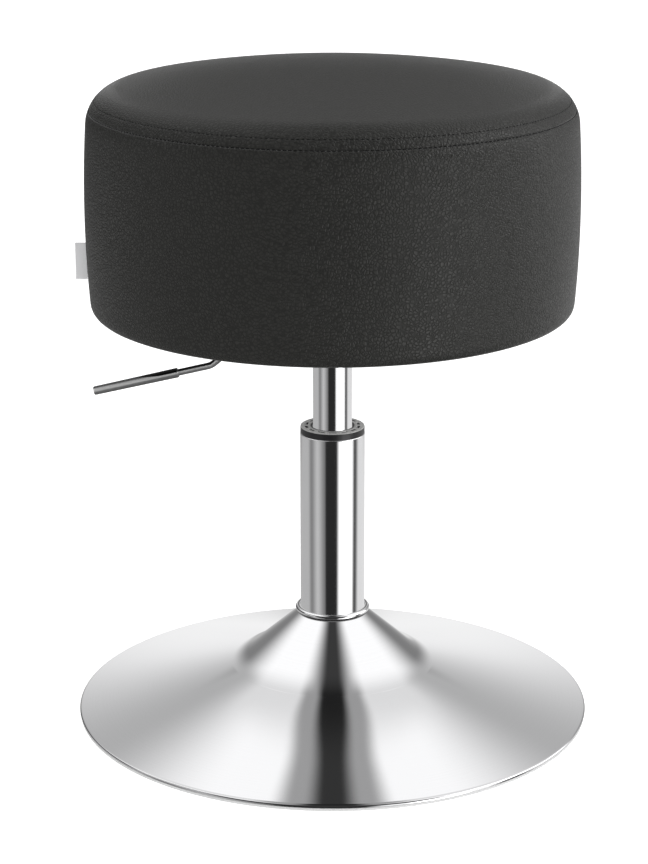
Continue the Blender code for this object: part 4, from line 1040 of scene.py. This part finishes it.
def angle_of(side, ahead):
    """Angle in degrees whose tangent is side / ahead."""
    return side.node("Math", {0: side, 1: ahead}, operation="ARCTAN2") * (180.0 / math.pi)


def card(level, *edges):
    """A card of one brightness, times an ease over each edge: a value, its start and its end."""
    return level * math.prod(ease(*edge) for edge in edges)


def laid_over(below, level, mask):
    """A brightness laid over what is behind it."""
    return below + mask * (level - below)


world = bpy.data.worlds.new("studio")
world.use_nodes = True
world.node_tree.nodes.clear()
bpy.context.scene.world = world
way = Shade(world.node_tree).node("TexCoord", output="Generated")
east = measured(way, (1.0, 0.0, 0.0))
north = measured(way, (0.0, 1.0, 0.0))
rise = measured(way, UP)
bearing = angle_of(east, -1.0 * north)

# Low cards stand round the stool and show in the column and the lever. Bearings are in degrees from the
# camera, to the right.

left_wall = card(0.22, (bearing, -56.0, -76.0)) + card(0.24, (bearing, -80.0, -97.0))
left_end = (bearing, -78.0, -54.0)
left_box = card(0.17, (bearing, -21.0, -29.0), left_end) + card(0.37, (bearing, -24.0, -56.0), left_end)
right_box = card(1.25, (bearing, 13.0, 26.0), (bearing, 83.0, 71.0))
right_core = card(2.0, (bearing, 30.0, 42.0), (bearing, 66.0, 54.0))
right_wall = card(0.07, (bearing, 70.0, 86.0)) + card(0.70, (bearing, 87.0, 107.0))
around = 0.024 + left_wall + left_box + right_box + right_core + right_wall

# High cards hang over the stool and show in its base. Each is given by the slope of a turned sheet that
# mirrors it to the camera, lean, and by how far round from the sheet's near side that happens, turn.

aside = way.node("Math", {0: east}, operation="ABSOLUTE")
ahead = LENS_BACK - north
turn = angle_of(aside, ahead)
reach = way.node("Math", {0: aside * aside + ahead * ahead}, operation="SQRT")
lean = way.node("Math", {0: reach, 1: rise + LENS_UP}, operation="DIVIDE")

near_side = ease(turn, 58.0, 42.0)
on_dish = ease(lean - DISH_CURVE * turn * turn, 0.300, 0.286)
on_bend = ease(lean - BEND_CURVE * turn * turn, 0.311, 0.317)
inner = near_side * (on_dish + on_bend)
core = 0.040 - 0.023 * inner + card(0.37, (turn - 2.8 * inner, 2.4, 8.0))
dish_near = core + card(0.79 - 0.30 * inner, (turn - 4.5 * inner, 10.4, 17.2))
far = turn * (1.0 - 0.25 * inner)
dish_far = card(-0.68, (far, 30.0, 66.0)) + card(0.58, (far, 66.0, 122.0))
dish_end = card(-0.10, (turn, 100.0, 125.0)) + card(-0.15, (turn, 142.0, 165.0))
cone_near = 0.05 + card(1.20, (turn, 3.4, 22.0))
cone_far = card(-1.00, (turn, 46.0, 80.0)) + card(0.44, (turn, 84.0, 125.0))
steep = ease(lean, 0.38 - 0.08 * near_side, 0.75 + 0.12 * near_side)
overhead = laid_over(dish_near + dish_far + dish_end, cone_near + cone_far, steep)

# A grey flag hangs behind the stool, and boxes in front of it light the seat from the right and the left.

back_sides = ease(aside - 0.35 * rise, 0.12, 0.08)
back = card(back_sides, (north, 0.6, 0.8), (rise, -0.02, 0.06), (rise, 0.52, 0.42))
overhead = laid_over(overhead, BACK_LEVEL, back)
right_level = 1.7 + card(3.2, (bearing, 45.0, 70.0))
right_front = card(right_level, (bearing, 38.0, 62.0), (bearing, 110.0, 95.0), (rise, 0.22, 0.40))
right_back = card(0.36, (bearing, 95.0, 115.0), (bearing, 178.0, 165.0))
right_low = card(2.4, (bearing, 86.0, 100.0), (bearing, 128.0, 114.0), (rise, 0.45, 0.25))
right = card(right_front + right_back + right_low, (rise, 0.75, 0.58))
left = card(0.9, (bearing, -48.0, -60.0), (bearing, -104.0, -92.0), (rise, 0.12, 0.22), (rise, 0.55, 0.42))
overhead = laid_over(overhead, 0.04 + right + left, ease(lean, 1.05, 1.20))

drop = card(0.18, (north, 0.4, 0.8))
light = laid_over(around, overhead, ease(rise, -0.12 - drop, 0.08 - drop))
light = laid_over(light, FLOOR_LEVEL, ease(rise, -0.50, -0.75))
light = laid_over(light, SOFT_LEVEL, way.node("LightPath", output="Is Diffuse Ray"))
light = laid_over(light, 1.0, way.node("LightPath", output="Is Camera Ray"))
sky = {"Color": (1.0, 1.0, 1.0, 1.0), "Strength": light}
way.node("OutputWorld", {"Surface": way.node("Background", sky)})

for piece in bpy.context.scene.objects:
    piece.visible_glossy = False

camera_data = bpy.data.cameras.new("camera")
camera_data.lens = CAMERA_LENS
camera_data.sensor_width = 36.0
camera = bpy.data.objects.new("camera", camera_data)
camera.location = CAMERA_PLACE
camera.rotation_euler = [math.radians(angle) for angle in CAMERA_TURN]
bpy.context.scene.collection.objects.link(camera)
bpy.context.scene.camera = camera
bpy.context.scene.view_settings.view_transform = "Standard"
